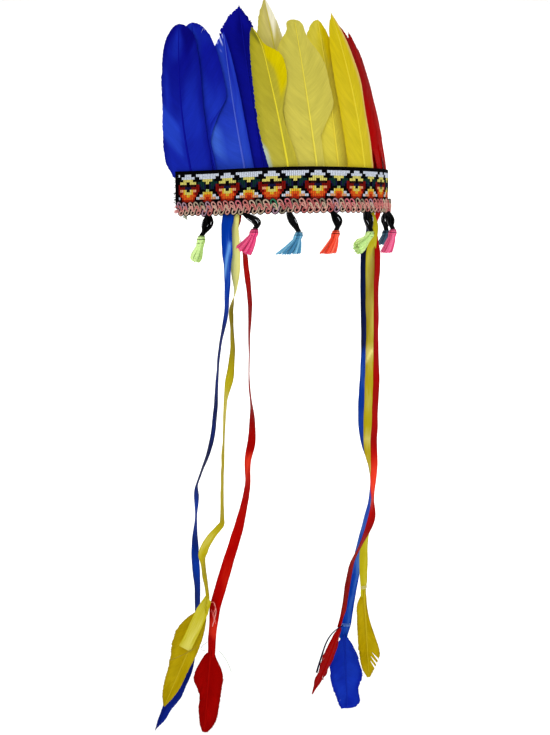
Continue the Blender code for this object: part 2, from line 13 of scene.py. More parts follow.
import bmesh
import bpy
from mathutils import Matrix, Vector, noise


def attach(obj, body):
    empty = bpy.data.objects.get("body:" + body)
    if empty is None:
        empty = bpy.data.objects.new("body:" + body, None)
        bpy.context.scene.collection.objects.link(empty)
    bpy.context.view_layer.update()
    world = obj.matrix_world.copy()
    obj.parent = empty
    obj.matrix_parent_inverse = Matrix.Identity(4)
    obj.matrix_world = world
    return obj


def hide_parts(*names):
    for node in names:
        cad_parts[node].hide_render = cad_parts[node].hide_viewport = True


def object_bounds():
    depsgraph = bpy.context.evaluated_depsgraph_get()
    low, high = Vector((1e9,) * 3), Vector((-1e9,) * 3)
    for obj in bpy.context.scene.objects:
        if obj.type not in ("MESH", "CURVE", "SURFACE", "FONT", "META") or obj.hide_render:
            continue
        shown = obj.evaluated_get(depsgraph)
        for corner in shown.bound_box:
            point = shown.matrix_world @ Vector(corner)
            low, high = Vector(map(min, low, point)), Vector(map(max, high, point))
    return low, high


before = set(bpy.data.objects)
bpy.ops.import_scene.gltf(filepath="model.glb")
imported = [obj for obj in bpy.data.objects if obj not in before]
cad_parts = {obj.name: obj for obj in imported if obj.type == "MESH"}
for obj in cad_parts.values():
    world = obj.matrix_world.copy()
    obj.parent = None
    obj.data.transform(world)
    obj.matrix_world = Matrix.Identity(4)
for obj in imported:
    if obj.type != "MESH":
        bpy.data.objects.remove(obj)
cad_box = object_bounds()
print("nodes in the plain model:", len(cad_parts))

# %% [markdown]
# ## Camera, floor and light
#
# The headdress was photographed from its left front, a little under a metre
# away, with the lens level with the band.  A lens of 52 mm at that distance
# gives the same perspective.  The light is soft and comes mostly from the
# camera's side, so one large lamp stands at the front, a weaker one fills the
# right, and a pale surround keeps the shadows open.  Two more lamps stand
# behind the headdress.  One lights the paper floor from above and one washes
# over the backdrop, so that both stay near white.

# %% Camera
LENS = 52.16
CAMERA_PLACE = (-0.3683, -0.8102, 0.0)
CAMERA_TILT = math.radians(90 - 8.254)
CAMERA_TURN = math.radians(-24.2)


def link(name, data):
    """New object in the scene."""
    made = bpy.data.objects.new(name, data)
    bpy.context.scene.collection.objects.link(made)
    return made


camera = link("photo_camera", bpy.data.cameras.new("photo_camera"))
camera.data.lens = LENS
camera.location = CAMERA_PLACE
camera.rotation_euler = (CAMERA_TILT, 0.0, CAMERA_TURN)
bpy.context.scene.camera = camera
bpy.context.scene.view_settings.view_transform = "Standard"
print("camera", tuple(round(v, 3) for v in camera.location))


# %% [markdown]
# ## Small helpers for materials
#
# Colours are written as sRGB hex values, as a dyer's colour card gives them,
# and one function turns them to the linear values that shaders want.  One
# function adds a node, sets it and links it, so a material reads as a list.  Two
# more write out what several materials share.

# %% Colour and node helpers
# the index of keratin and polyester is 1.5, but a surface of fibres with air
# between them mirrors far less at a slant, as if its index were lower
FIBRE_IOR = 1.2


def linear(hex_colour):
    """Linear RGBA of an sRGB hex colour."""
    parts = [int(hex_colour[at:at + 2], 16) / 255 for at in (1, 3, 5)]
    return *(p / 12.92 if p <= 0.04045 else ((p + 0.055) / 1.055) ** 2.4 for p in parts), 1.0


def node(tree, kind, inputs=None, **settings):
    """Add a node, set its properties, and set or link its inputs."""
    made = tree.nodes.new(kind)
    for key, value in settings.items():
        setattr(made, key, value)
    for key, value in (inputs or {}).items():
        if isinstance(value, bpy.types.NodeSocket):
            tree.links.new(value, made.inputs[key])
        else:
            made.inputs[key].default_value = value
    return made


def surface(name, **sockets):
    """New Principled material; returns it with its tree and shader."""
    material = bpy.data.materials.new(name)
    material.use_nodes = True
    shader = material.node_tree.nodes["Principled BSDF"]
    shader.inputs["IOR"].default_value = FIBRE_IOR
    for key, value in sockets.items():
        shader.inputs[key.replace("_", " ")].default_value = value
    return material, material.node_tree, shader


def shaded(tree, attribute, pattern, pattern_span, shade_span):
    """Colour of the piece, darkened and lightened by a pattern."""
    colour = node(tree, "ShaderNodeAttribute", attribute_name=attribute)
    shade = node(tree, "ShaderNodeMapRange", {
        "Value": pattern, "From Min": pattern_span[0], "From Max": pattern_span[1],
        "To Min": shade_span[0], "To Max": shade_span[1]})
    mixed = node(tree, "ShaderNodeVectorMath", {0: colour.outputs["Color"], 1: shade.outputs["Result"]},
                 operation="MULTIPLY")
    return mixed.outputs["Vector"]


def dress(tree, shader, colour, relief, strength, depth):
    """Give a shader its colour, and a relief as bump."""
    bump = node(tree, "ShaderNodeBump", {"Height": relief, "Strength": strength, "Distance": depth})
    tree.links.new(colour, shader.inputs["Base Color"])
    tree.links.new(bump.outputs["Normal"], shader.inputs["Normal"])


print("white is", [round(v, 3) for v in linear("#ffffff")])

# %% Floor, surround and lamps
FLOOR_HALF = 3.0
BACKDROP_HEIGHT = 5.0
BACKDROP_BEND = 2.0
# from the lowest point of the headdress to the floor
FLOOR_GAP = 0.03


def as_data(mesh, name, *materials):
    """Turn a finished mesh into data with its materials."""
    data = bpy.data.meshes.new(name)
    mesh.to_mesh(data)
    mesh.free()
    for material in materials:
        data.materials.append(material)
    return data


paper, _, _ = surface("studio_paper", Base_Color=linear("#fbfbfa"), Roughness=0.9)
mesh = bmesh.new()
bmesh.ops.create_grid(mesh, x_segments=1, y_segments=1, size=FLOOR_HALF)
far = [found for found in mesh.edges if all(vert.co.y > 0 for vert in found.verts)]
risen = bmesh.ops.extrude_edge_only(mesh, edges=far)["geom"]
bmesh.ops.translate(mesh, vec=(0, 0, BACKDROP_HEIGHT),
                    verts=[part for part in risen if isinstance(part, bmesh.types.BMVert)])
bmesh.ops.bevel(mesh, geom=far, offset=BACKDROP_BEND, segments=16, profile=0.5, affect="EDGES", material=-1)
bmesh.ops.transform(mesh, verts=mesh.verts, matrix=Matrix.Translation((0, 0, cad_box[0].z - FLOOR_GAP))
                    @ Matrix.Rotation(CAMERA_TURN, 4, "Z"))
for face in mesh.faces:
    face.smooth = True
link("studio_floor", as_data(mesh, "studio_floor", paper))

world = bpy.data.worlds.new("pale_surround")
world.use_nodes = True
surround = world.node_tree.nodes["Background"].inputs
surround["Color"].default_value = linear("#fbfbfa")
surround["Strength"].default_value = 0.5
bpy.context.scene.world = world


def lamp(name, place, target, size, power):
    """Square area lamp at place, turned to target."""
    data = bpy.data.lights.new(name, "AREA")
    data.size = size
    data.energy = power
    made = link(name, data)
    made.location = place
    made.rotation_euler = (Vector(target) - Vector(place)).to_track_quat("-Z", "Y").to_euler()


lamp("front_softbox", (-0.85, -1.25, 0.55), (0, 0, -0.1), 1.0, 12)
lamp("side_fill", (1.0, -0.9, 0.0), (0, 0, -0.1), 0.9, 4)
lamp("top_softbox", (0.35, 0.75, 1.6), (0.35, 0.75, -0.46), 1.6, 22)
lamp("backdrop_wash", (0.3, 0.8, 0.9), (1.0, 2.4, -0.46), 1.2, 20)
print("lamps and floor are set")

# %% [markdown]
# ## The shapes that everything is laid on
#
# The band runs round a loop of 89 mm radius and leaves it straight at its left
# end.  Feathers stand behind the band and lean together.  These functions give
# a point of the band, of the crown and of each ribbon, so that a piece that was
# made flat can be laid there vertex by vertex.

# %% Band and crown
LOOP_RADIUS = 0.089
BAND_LENGTH = 0.245
BAND_TAIL = 0.040
BAND_HEIGHT = 0.0285
BAND_THICKNESS = 0.0012
BAND_SAG = 0.0028
BAND_BOTTOM = 0.006
BAND_TOP = BAND_BOTTOM + BAND_HEIGHT
HALF_BAND = BAND_LENGTH / 2
CLEARANCE = 0.0003
CROWN_HEIGHT = 0.120
# the feathers rise inward, bow out in the middle and lean to the left
CROWN_INWARD = math.tan(math.radians(3))
CROWN_BOW = 0.004
CROWN_LEAN = math.tan(math.radians(10))
LEAN_WAY = Vector((-math.cos(math.radians(24)), math.sin(math.radians(24)), 0.0))
DOWN = Vector((0, 0, -1))


def smooth(share):
    """Ease from 0 to 1, flat at both ends."""
    share = min(max(share, 0.0), 1.0)
    return share * share * (3.0 - 2.0 * share)


def band_place(along):
    """Point on the band's outer face, with the outward and onward directions."""
    on_loop = max(along, BAND_TAIL - HALF_BAND)
    angle = on_loop / LOOP_RADIUS
    outward = Vector((math.sin(angle), -math.cos(angle), 0.0))
    onward = Vector((math.cos(angle), math.sin(angle), 0.0))
    place = outward * LOOP_RADIUS + onward * (along - on_loop)
    place.z = -BAND_SAG * smooth(-along / HALF_BAND)
    return place, outward, onward


def on_band(along, out, height):
    """Point of a piece that lies on the band."""
    place, outward, _ = band_place(along)
    return place + outward * out + Vector((0, 0, height))


def crown_point(along, height, inset):
    """Point of the crown, inset behind the band's inner face."""
    place, outward, _ = band_place(along)
    rise = max(height - BAND_TOP, 0.0)
    share = rise / CROWN_HEIGHT
    depth = BAND_THICKNESS + CLEARANCE + inset + rise * CROWN_INWARD
    depth -= CROWN_BOW * 4 * share * (1 - share)
    place = place - outward * depth + LEAN_WAY * (rise * CROWN_LEAN)
    return place + Vector((0, 0, height))


print("left end of the band", tuple(round(v, 3) for v in on_band(-HALF_BAND, 0, 0)))

# %% [markdown]
# ## Ribbon routes
#
# A ribbon's way down is chosen from the photograph, a row for each
# bend: how far down, how far to the side and back, and how the ribbon's width
# is turned there.  A smooth curve through the rows gives every point between.

# %% Ribbon routes
RIBBON_WIDTH = 0.010
RIBBON_DROP = 0.350
RIBBON_SWAY = 0.030
RIBBON_SEAT = 0.0135
# from the band's inner face to the first ribbon, and from layer to layer
RIBBON_INSET = 0.0010
RIBBON_LAYER = 0.0015
HANG_TURN = math.radians(-24.0)
# name: (colour, seat as a share of half the band, layer inward, drop)
RIBBONS = {
    "left_blue": ("blue", -0.629, 0, 0.975),
    "left_yellow": ("yellow", -0.580, 1, 0.868),
    "left_red": ("red", -0.539, 2, 0.975),
    "right_blue": ("blue", 0.298, 0, 0.975),
    "right_yellow": ("yellow", 0.398, 0, 0.868),
    "right_red": ("red", 0.494, 0, 0.930),
}
# some are sewn a little aside along the band, as a share of half the band
SLIPS = {"left_blue": -0.018, "left_yellow": -0.036, "left_red": -0.070, "right_blue": 0.04}
# rows: drop, side, back, turn
ROUTES = {
    "left_blue": (
        (0.026, -0.11, 0.09, -34), (0.080, -0.10, 0.15, -34), (0.108, -0.10, 0.18, -54),
        (0.156, -0.11, 0.22, -61), (0.210, -0.14, 0.27, -67), (0.247, -0.22, 0.29, -74),
        (0.289, -0.31, 0.29, -77), (0.379, -0.40, 0.29, -72), (0.470, -0.49, 0.32, -67),
        (0.527, -0.63, 0.38, -72), (0.598, -0.93, 0.48, -82), (0.629, -0.97, 0.50, -62),
        (0.682, -0.99, 0.54, -77), (0.750, -1.03, 0.59, -52), (0.810, -1.02, 0.64, -46),
        (0.865, -0.99, 0.67, -58), (0.988, -1.00, 0.70, -66),
    ),
    "left_yellow": (
        (0.020, -0.12, 0.16, -46), (0.080, -0.08, 0.19, -44), (0.123, -0.09, 0.19, -47),
        (0.160, -0.08, 0.10, -78), (0.174, -0.11, 0.07, -85), (0.184, -0.14, 0.04, -97),
        (0.209, -0.20, -0.01, -107), (0.247, -0.17, -0.08, -105), (0.290, -0.16, -0.14, -109),
        (0.330, -0.20, -0.18, -120), (0.358, -0.25, -0.21, -127), (0.404, -0.34, -0.28, -103),
        (0.617, -0.45, -0.28, -101), (0.672, -0.45, -0.28, -108), (0.683, -0.50, -0.28, -130),
        (0.705, -0.71, -0.28, -137), (0.732, -0.90, -0.28, -138), (0.748, -0.955, -0.28, -134),
        (0.762, -0.960, -0.28, -110), (0.790, -0.93, -0.28, -103), (0.848, -0.84, -0.28, -101),
        (0.880, -0.88, -0.28, -112),
    ),
    "left_red": (
        (0.018, -0.20, 0.24, -82), (0.058, -0.12, 0.28, -82), (0.085, -0.02, 0.24, -66),
        (0.105, 0.01, 0.20, -63), (0.188, 0.11, 0.07, -68), (0.275, 0.09, 0.00, -80),
        (0.375, 0.09, 0.00, -81), (0.431, 0.16, 0.00, -69), (0.498, 0.14, 0.00, -50),
        (0.544, 0.04, 0.00, -58), (0.601, 0.03, 0.00, -66), (0.681, -0.16, 0.00, -46),
        (0.774, -0.48, 0.00, -32), (0.880, -0.83, 0.00, -30), (0.930, -0.90, 0.00, -46),
        (0.980, -0.95, 0.00, -46),
    ),
    "right_blue": (
        (0.026, 0.18, 0.32, 64), (0.055, 0.15, 0.40, 60), (0.093, 0.07, 0.50, 57), (0.312, 0.12, 0.65, 58),
        (0.430, 0.09, 0.72, 50), (0.490, 0.08, 0.72, 58), (0.535, 0.14, 0.72, 70), (0.573, 0.29, 0.72, 74),
        (0.610, 0.37, 0.72, 74), (0.650, 0.36, 0.72, 70), (0.690, 0.30, 0.72, 62), (0.735, 0.19, 0.72, 55),
        (0.779, 0.08, 0.72, 50), (0.850, -0.05, 0.72, 36), (0.915, -0.20, 0.72, 12), (0.986, -0.31, 0.72, 14),
    ),
    "right_yellow": (
        (0.027, 0.09, 0.02, 53), (0.060, 0.05, 0.06, 45), (0.093, 0.00, 0.10, 38), (0.200, 0.00, 0.05, 41),
        (0.297, 0.01, 0.00, 44), (0.493, -0.02, -0.02, 37), (0.545, 0.00, -0.02, 48),
        (0.583, 0.05, -0.02, 74), (0.659, 0.09, -0.02, 80), (0.720, 0.03, -0.02, 66),
        (0.745, -0.04, -0.02, 54), (0.770, -0.09, -0.02, 46), (0.818, -0.10, -0.02, 42),
        (0.880, -0.08, -0.02, 58),
    ),
    "right_red": (
        (0.027, -0.06, 0.14, 68), (0.060, -0.03, 0.02, 66), (0.094, 0.00, -0.11, 60),
        (0.171, -0.05, -0.38, 61), (0.304, -0.06, -0.65, 61), (0.370, -0.045, -0.70, 54),
        (0.435, -0.07, -0.75, 54), (0.480, -0.08, -0.75, 54), (0.526, -0.10, -0.75, 54),
        (0.571, -0.08, -0.75, 52), (0.610, -0.10, -0.75, 56), (0.650, -0.11, -0.75, 68),
        (0.696, -0.14, -0.75, 44), (0.755, -0.41, -0.75, 62), (0.805, -0.66, -0.75, 60),
        (0.911, -0.84, -0.75, 60), (0.950, -0.96, -0.75, 64),
    ),
}


def follow(rows, share):
    """Columns after the first, on a smooth curve through rows, at share."""
    share = min(max(share, rows[0][0]), rows[-1][0])
    index = 0
    while index < len(rows) - 2 and share > rows[index + 1][0]:
        index += 1

    def slope(at, column):
        if at == 0:
            return 0.0
        after = min(at + 1, len(rows) - 1)
        return (rows[after][column] - rows[at - 1][column]) / (rows[after][0] - rows[at - 1][0])

    start, end = rows[index], rows[index + 1]
    span = end[0] - start[0]
    part = (share - start[0]) / span
    columns = []
    for column in range(1, len(start)):
        change = end[column] - start[column]
        enter = slope(index, column) * span * part * (1 - part) ** 2
        leave = slope(index + 1, column) * span * part ** 2 * (1 - part)
        columns.append(start[column] + enter - leave + change * (3 * part ** 2 - 2 * part ** 3))
    return columns


def hanging(side, back, height=0.0):
    """Vector with parts along the hanging side and back directions."""
    return Vector((
        side * math.cos(HANG_TURN) - back * math.sin(HANG_TURN),
        side * math.sin(HANG_TURN) + back * math.cos(HANG_TURN),
        height,
    ))


def ribbon_seat(name, slip=0.0):
    """Sewn place of a ribbon inside the band, and the band's direction there."""
    _, seat_share, layer, _ = RIBBONS[name]
    place, outward, onward = band_place((seat_share + slip) * HALF_BAND)
    return place - outward * (BAND_THICKNESS + RIBBON_INSET + layer * RIBBON_LAYER), onward


def ribbon_at(name, drop):
    """Middle of a ribbon and its width direction at a drop below its seat."""
    seat, _ = ribbon_seat(name)
    sewn, onward = ribbon_seat(name, SLIPS.get(name, 0.0))
    aside = sewn - seat
    start = (0.0, aside.dot(hanging(1, 0)) / RIBBON_SWAY, aside.dot(hanging(0, 1)) / RIBBON_SWAY,
             math.degrees(math.atan2(onward.y, onward.x) - HANG_TURN))
    side, back, turn = follow((start,) + ROUTES[name], max(drop, 0.0))
    turn = math.radians(turn)
    middle = seat + hanging(side * RIBBON_SWAY, back * RIBBON_SWAY, -drop * RIBBON_DROP)
    return middle, hanging(math.cos(turn), math.sin(turn))


def ribbon_foot(name):
    """Foot of a ribbon's flat length, its width direction and its way down."""
    drop = RIBBONS[name][3]
    foot, width_way = ribbon_at(name, drop)
    return foot, width_way, (foot - ribbon_at(name, drop - 0.01)[0]).normalized()


print("foot of the left red ribbon", tuple(round(v, 3) for v in ribbon_foot("left_red")[0]))

# %% [markdown]
# ## Making, laying and stamping
#
# A piece is made flat with mesh operators.  `add_grid` adds a flat sheet and
# `lay` bends it onto its place, `stamp` adds a copy of a small ready shape, as a
# tassel takes many equal strands, and `keep` turns the finished mesh into an object that belongs to the
# headdress and stands for its plain node.

# %% Piece helpers
rng = random.Random(7)


def lay(verts, place):
    """Move each vertex from the flat piece to its place."""
    for vert in verts:
        vert.co = place(*vert.co)


def add_grid(mesh, columns, rows, middle=(0.5, 0.5), width=1.0):
    """Add a flat sheet, 1 long and width wide; return its verts and faces."""
    start_verts, start_faces = len(mesh.verts), len(mesh.faces)
    bmesh.ops.create_grid(mesh, x_segments=columns, y_segments=rows, size=0.5,
                          matrix=Matrix.Translation((*middle, 0)) @ Matrix.Diagonal((width, 1, 1, 1)))
    mesh.verts.ensure_lookup_table()
    mesh.faces.ensure_lookup_table()
    return mesh.verts[start_verts:], mesh.faces[start_faces:]


def yarn_mesh():
    """Empty mesh with a colour layer for its yarns."""
    mesh = bmesh.new()
    return mesh, mesh.verts.layers.float_color.new("yarn")


def stamp(mesh, shape, place, layer=None, colour=None, slot=0):
    """Add a copy of a ready shape, laid by place and coloured."""
    start_verts, start_faces = len(mesh.verts), len(mesh.faces)
    mesh.from_mesh(shape)
    mesh.verts.ensure_lookup_table()
    mesh.faces.ensure_lookup_table()
    fresh = mesh.verts[start_verts:]
    lay(fresh, place)
    if layer is not None:
        for vert in fresh:
            vert[layer] = colour
    for face in mesh.faces[start_faces:]:
        face.material_index = slot


def keep(name, mesh, materials, nodes=(), normals=True, angle=60):
    """Finished object from a mesh, riding on the headdress."""
    if normals:
        bmesh.ops.recalc_face_normals(mesh, faces=mesh.faces)
    data = as_data(mesh, name, *materials)
    data.shade_smooth()
    data.set_sharp_from_angle(angle=math.radians(angle))
    made = link(name, data)
    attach(made, "root")
    if nodes:
        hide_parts(*nodes)
    print(name, len(data.polygons), "faces")
    return made


def unit_tube(sides, rings, name):
    """Tube of radius 1 from height 0 to 1, cut into rings."""
    mesh = bmesh.new()
    bmesh.ops.create_cone(mesh, cap_ends=True, segments=sides, radius1=1, radius2=1, depth=1,
                          matrix=Matrix.Translation((0, 0, 0.5)))
    for ring in range(1, rings):
        bmesh.ops.bisect_plane(mesh, geom=mesh.verts[:] + mesh.edges[:] + mesh.faces[:],
                               plane_co=(0, 0, ring / rings), plane_no=(0, 0, 1))
    return as_data(mesh, name)


def unit_ring(thickness, name, around=16, sides=6):
    """Ring of radius 1 in the flat, made by spinning a small circle."""
    mesh = bmesh.new()
    upright = Matrix.Translation((1, 0, 0)) @ Matrix.Rotation(math.pi / 2, 4, "X")
    circle = bmesh.ops.create_circle(mesh, segments=sides, radius=thickness, matrix=upright)
    edges = list({edge for vert in circle["verts"] for edge in vert.link_edges})
    bmesh.ops.spin(mesh, geom=circle["verts"] + edges, cent=(0, 0, 0), axis=(0, 0, 1),
                   angle=2 * math.pi, steps=around, use_merge=True)
    bmesh.ops.remove_doubles(mesh, verts=mesh.verts, dist=0.0001)
    return as_data(mesh, name)


def along_path(path, radius, side_hint=Vector((1, 0, 0))):
    """Place for a unit tube: path gives a point at a share, radius its radius."""
    def place(x, y, z):
        way = (path(min(z + 0.02, 1.0)) - path(max(z - 0.02, 0.0))).normalized()
        side = (side_hint - way * side_hint.dot(way)).normalized()
        other = way.cross(side)
        return path(z) + (side * x + other * y) * radius(z)
    return place


strand_shape = unit_tube(4, 6, "strand_shape")
cord_shape = unit_tube(6, 12, "cord_shape")
shaft_shape = unit_tube(8, 20, "shaft_shape")
thread_ring = unit_ring(0.13, "thread_ring")
print("strand has", len(strand_shape.polygons), "faces")

# %% [markdown]
# ## Woven band
#
# The band is a jacquard trim: a black ground with coloured weft yarns that
# float over it in steps.  It could be drawn with a texture, but then it would
# be as flat as a print.  Here the front is a grid with one face for each float,
# coloured from a given chart and raised above the ground.  The motif is
# mirrored, so the chart holds half of it: twelve half-steps from the middle of
# one motif to the middle of the next.

# %% Chart of the weave
YARNS = {
    "k": "#050406", "w": "#c9d0de", "y": "#d2c868", "Y": "#dcae2c", "o": "#da5a1e", "r": "#b42a14",
    "m": "#74100a", "b": "#2c1210", "g": "#0f2f2a", "n": "#15173a", "p": "#dc9c72", "l": "#a9b96a",
}
# rows from the top border down; columns from the middle of the lozenge motif
# to the middle of the triangle motif
CHART = (
    "kkkkkkkkkkkk",
    "wwkkkwwwwwww",
    "wwwwkkkwwwww",
    "yyykkkkkgyyy",
    "kyyyykggggky",
    "kbbbkmmnggnk",
    "nnmmmmmkngnk",
    "kyYppmmkkkkl",
    "yyYrmmkkkyYY",
    "YooorkkwwYoo",
    "ooorkwwpppor",
    "rrrmkkkkkmrr",
    "kkkkkkkkkkkk",
)
ROW_HEIGHTS = [2.8] + [1.9] * 11 + [4.8]
MOTIFS = 7
HALF_STEPS = 12
print("chart of", len(CHART), "rows,", sum(ROW_HEIGHTS), "mm high")

# %% Yarn materials
def yarn_material(name, roughness, thread_mm, sheen=0.1, gloss=0.1):
    """Spun yarn: the colour comes from the piece, the twist from fine noise."""
    material, tree, shader = surface(name, Roughness=roughness, Sheen_Weight=sheen, Sheen_Roughness=0.5,
                                     Specular_IOR_Level=gloss)
    where = node(tree, "ShaderNodeTexCoord").outputs["Object"]
    fibres = node(tree, "ShaderNodeTexNoise", {"Vector": where, "Scale": 1000 / thread_mm, "Detail": 3.0})
    colour = shaded(tree, "yarn", fibres.outputs["Fac"], (0.3, 0.7), (0.62, 1.25))
    dress(tree, shader, colour, fibres.outputs["Fac"], 0.5, 0.0002)
    return material


# Jacquard yarn is spun polyester: matt, with a soft edge light.  Its threads
# are 0.5 mm apart; they are drawn at 0.7 mm, so that they show at this distance.
weave_yarn = yarn_material("woven_polyester_yarn", 0.78, 0.7, sheen=0.0, gloss=0.05)
braid_yarn = yarn_material("gimp_braid_yarn", 0.7, 0.6, sheen=0.05)
tassel_yarn = yarn_material("spun_acrylic_yarn", 0.85, 0.5, sheen=0.3)
black_cord = yarn_material("glossy_rayon_cord", 0.24, 0.5, sheen=0.0, gloss=0.25)
print("yarns:", weave_yarn.name, braid_yarn.name, tassel_yarn.name, black_cord.name)

# %% Woven band
FLOAT_RELIEF = 0.00022
FLOAT_INSET = 0.0011
# the black ground lies this far below the band's face
GROUND_DEPTH = 0.0002
WALL = 0.0009
CUT_END = 0.013
columns = MOTIFS * 2 * HALF_STEPS
rows = len(CHART)
row_tops = [BAND_TOP - sum(ROW_HEIGHTS[:row]) / 1000 for row in range(rows + 1)]
mesh, yarn = yarn_mesh()
add_grid(mesh, columns, rows)
floats = {}
for face in mesh.faces:
    centre = face.calc_center_median()
    column = int(centre.x * columns) % (2 * HALF_STEPS)
    # the middle of a lozenge motif lies a quarter repeat from the left end
    step = (column - HALF_STEPS // 2) % (2 * HALF_STEPS)
    half = step if step < HALF_STEPS else 2 * HALF_STEPS - 1 - step
    row = rows - 1 - int(centre.y * rows)
    floats[face] = CHART[row][half]
# each float is inset on its own and its middle lifted off the ground
for vert in mesh.verts:
    vert[yarn] = linear(YARNS["k"])
raised = [face for face in mesh.faces if floats[face] != "k"]
bmesh.ops.inset_individual(mesh, faces=raised, thickness=FLOAT_INSET, depth=0.0)
for face in raised:
    for vert in face.verts:
        vert[yarn] = linear(YARNS[floats[face]])
        vert.co.z = FLOAT_RELIEF


def band_row_place(x, y, z):
    """Point of the flat band, whose rows have their own heights, on the loop."""
    at = (1 - y) * rows
    row = min(int(at), rows - 1)
    height = row_tops[row] + (row_tops[row + 1] - row_tops[row]) * (at - row)
    return on_band((x - 0.5) * BAND_LENGTH, z - GROUND_DEPTH, height)


# a black selvedge is left standing at the cut left end
selvedge, _ = add_grid(mesh, 2, rows, (-CUT_END / 2, 0.5), CUT_END)
for vert in selvedge:
    vert[yarn] = linear(YARNS["k"])
lay(mesh.verts, band_row_place)
backing, _, _ = surface("black_woven_backing", Base_Color=linear("#0c0b0e"), Roughness=0.9)
band = keep("jacquard_band", mesh, [weave_yarn, backing], ["woven_band"],
            normals=False, angle=80)
wall = band.modifiers.new("wall", "SOLIDIFY")
wall.thickness = WALL
wall.offset = -1.0
wall.material_offset = 1

# %% [markdown]
# ## Gimp braid
#
# The braid along the lower edge is gimp: yarn wound into teardrop loops, an
# upper row that leans one way and a lower row that leans the other, so that
# the tails cross like a plait.  One loop is a thin tube that is laid along a
# teardrop path: a dark one below, the pale yarn over it and a short filling yarn
# inside.  The copies lean over each other on a dark backing.

# %% Braid loops
BRAID_LOOPS = 47
LOOP_LENGTH = 0.0086
LOOP_WIDTH = 0.0040
# height of each row's middle and its distance from the band; the lower row lies a little further on
UPPER_HEIGHT, LOWER_HEIGHT = 0.0073, 0.0043
UPPER_OUT, LOWER_OUT = 0.0017, 0.0014
LOWER_SHIFT = 0.0018
# yarns of a loop: how much further out, share of its width and length, radius, shift to its head
LOOP_YARNS = ((-0.0001, 1.24, 1.06, 0.00048, 0.0), (0.0, 0.92, 0.94, 0.00062, 0.0),
              (0.0003, 0.35, 0.60, 0.00045, -0.0015))
BRAID_COLOURS = ["#cc7a74", "#bb6462", "#d2948a", "#ccb09a", "#b8a48c", "#8a826e", "#ac8a9c",
                 "#d0707a", "#d6a292"]
BRAID_DARKS = ["#1a0d10", "#3a0f16", "#26160f", "#120c10"]
FLUFF = ["#e08a90", "#e7a79e", "#d98f86"]
OUTSIDE = 0.0003

# one loop was wound with green yarn
GREEN_AT = -0.0405
loop_shape = unit_tube(4, 14, "loop_shape")
mesh, yarn = yarn_mesh()


def teardrop(along, height, lean, out, width, length, head_up):
    """Closed path of a loop: round head on one side, pointed tail on the other."""
    def path(z):
        turn = 2 * math.pi * z
        x = width / 2 * 1.25 * math.sin(turn) * math.sin(turn / 2) ** 1.3
        y = -length / 2 * math.cos(turn) * (1 if head_up else -1)
        across = x * math.cos(lean) - y * math.sin(lean)
        rise = x * math.sin(lean) + y * math.cos(lean)
        return on_band(along + across, OUTSIDE + out + 0.0002 * math.sin(turn), height + rise)
    return path


for index in range(BRAID_LOOPS):
    middle = (index + 0.5) / BRAID_LOOPS * BAND_LENGTH - HALF_BAND
    _, facing, _ = band_place(middle)
    for upper in (False, True):
        sign = 1 if upper else -1
        along = middle + rng.uniform(-0.0003, 0.0003) + (0.0 if upper else LOWER_SHIFT)
        height = (UPPER_HEIGHT if upper else LOWER_HEIGHT) + rng.uniform(-0.0002, 0.0002)
        lean = math.radians(rng.uniform(30, 42) * sign)
        size = rng.uniform(0.92, 1.06)
        colour = rng.choice(BRAID_COLOURS)
        if upper and abs(along - GREEN_AT) < 0.0026:
            colour = "#2f7a58"
        dyes = (rng.choice(BRAID_DARKS), colour, rng.choice(BRAID_COLOURS[:4]))
        for dye, (out, wide, long, thick, shift) in zip(dyes, LOOP_YARNS):
            stamp(mesh, loop_shape, along_path(
                teardrop(along - shift * math.sin(lean) * sign, height + shift * sign, lean,
                         out + (UPPER_OUT if upper else LOWER_OUT), LOOP_WIDTH * wide * size,
                         LOOP_LENGTH * long * size, upper),
                lambda z: thick, facing), yarn, linear(dye))

# dark backing strip, which shows in the cores of the loops
strip, strip_faces = add_grid(mesh, 180, 4)
for vert in strip:
    vert[yarn] = linear("#1d0d12")
lay(strip, lambda x, y, z: on_band((x - 0.5) * BAND_LENGTH, OUTSIDE + 0.0007, 0.0016 + 0.0082 * y))
bmesh.ops.solidify(mesh, geom=strip_faces, thickness=0.0005)


def fray(root, reach, radius, dye, curl=Vector(), hint=Vector((0, 0, 1))):
    """Add a short loose fibre from root, as far as reach."""
    path = along_path(lambda z: root + reach * z + curl * math.sin(math.pi * z), radius, hint)
    stamp(mesh, strand_shape, path, yarn, linear(dye))


# frayed yarn at the cut left end: pink and black fluff, and one grey-green end below
for index in range(26):
    height = rng.uniform(0.0035, 0.0085)
    reach = Vector((-rng.uniform(0.001, 0.0042), rng.uniform(-0.002, 0.002), rng.uniform(-0.0028, 0.0012)))
    root = on_band(-HALF_BAND + rng.uniform(0, 0.0012), 0.0012, height)
    curl = Vector((0, rng.uniform(-0.0015, 0.0015), rng.uniform(-0.001, 0.001)))
    fray(root, reach, lambda z: 0.00022 * (1.15 - 0.6 * z), rng.choice(FLUFF), curl)
for index in range(22):
    root = on_band(-HALF_BAND - 0.0028, 0.0, rng.uniform(0.010, 0.031))
    reach = Vector((-rng.uniform(0.0006, 0.0022), rng.uniform(-0.001, 0.001), rng.uniform(-0.0014, 0.0010)))
    fray(root, reach, lambda z: 0.0002, "#0b0a0d")
for index in range(4):
    root = on_band(-HALF_BAND + 0.006 + index * 0.0005, 0.0014, 0.0016)
    reach = Vector((0.0006 * index - 0.001, 0, -0.0024 - 0.0006 * index))
    fray(root, reach, lambda z: 0.0004, "#8b8f78", hint=Vector((1, 0, 0)))
keep("gimp_braid", mesh, [braid_yarn], ["braid_trim"])

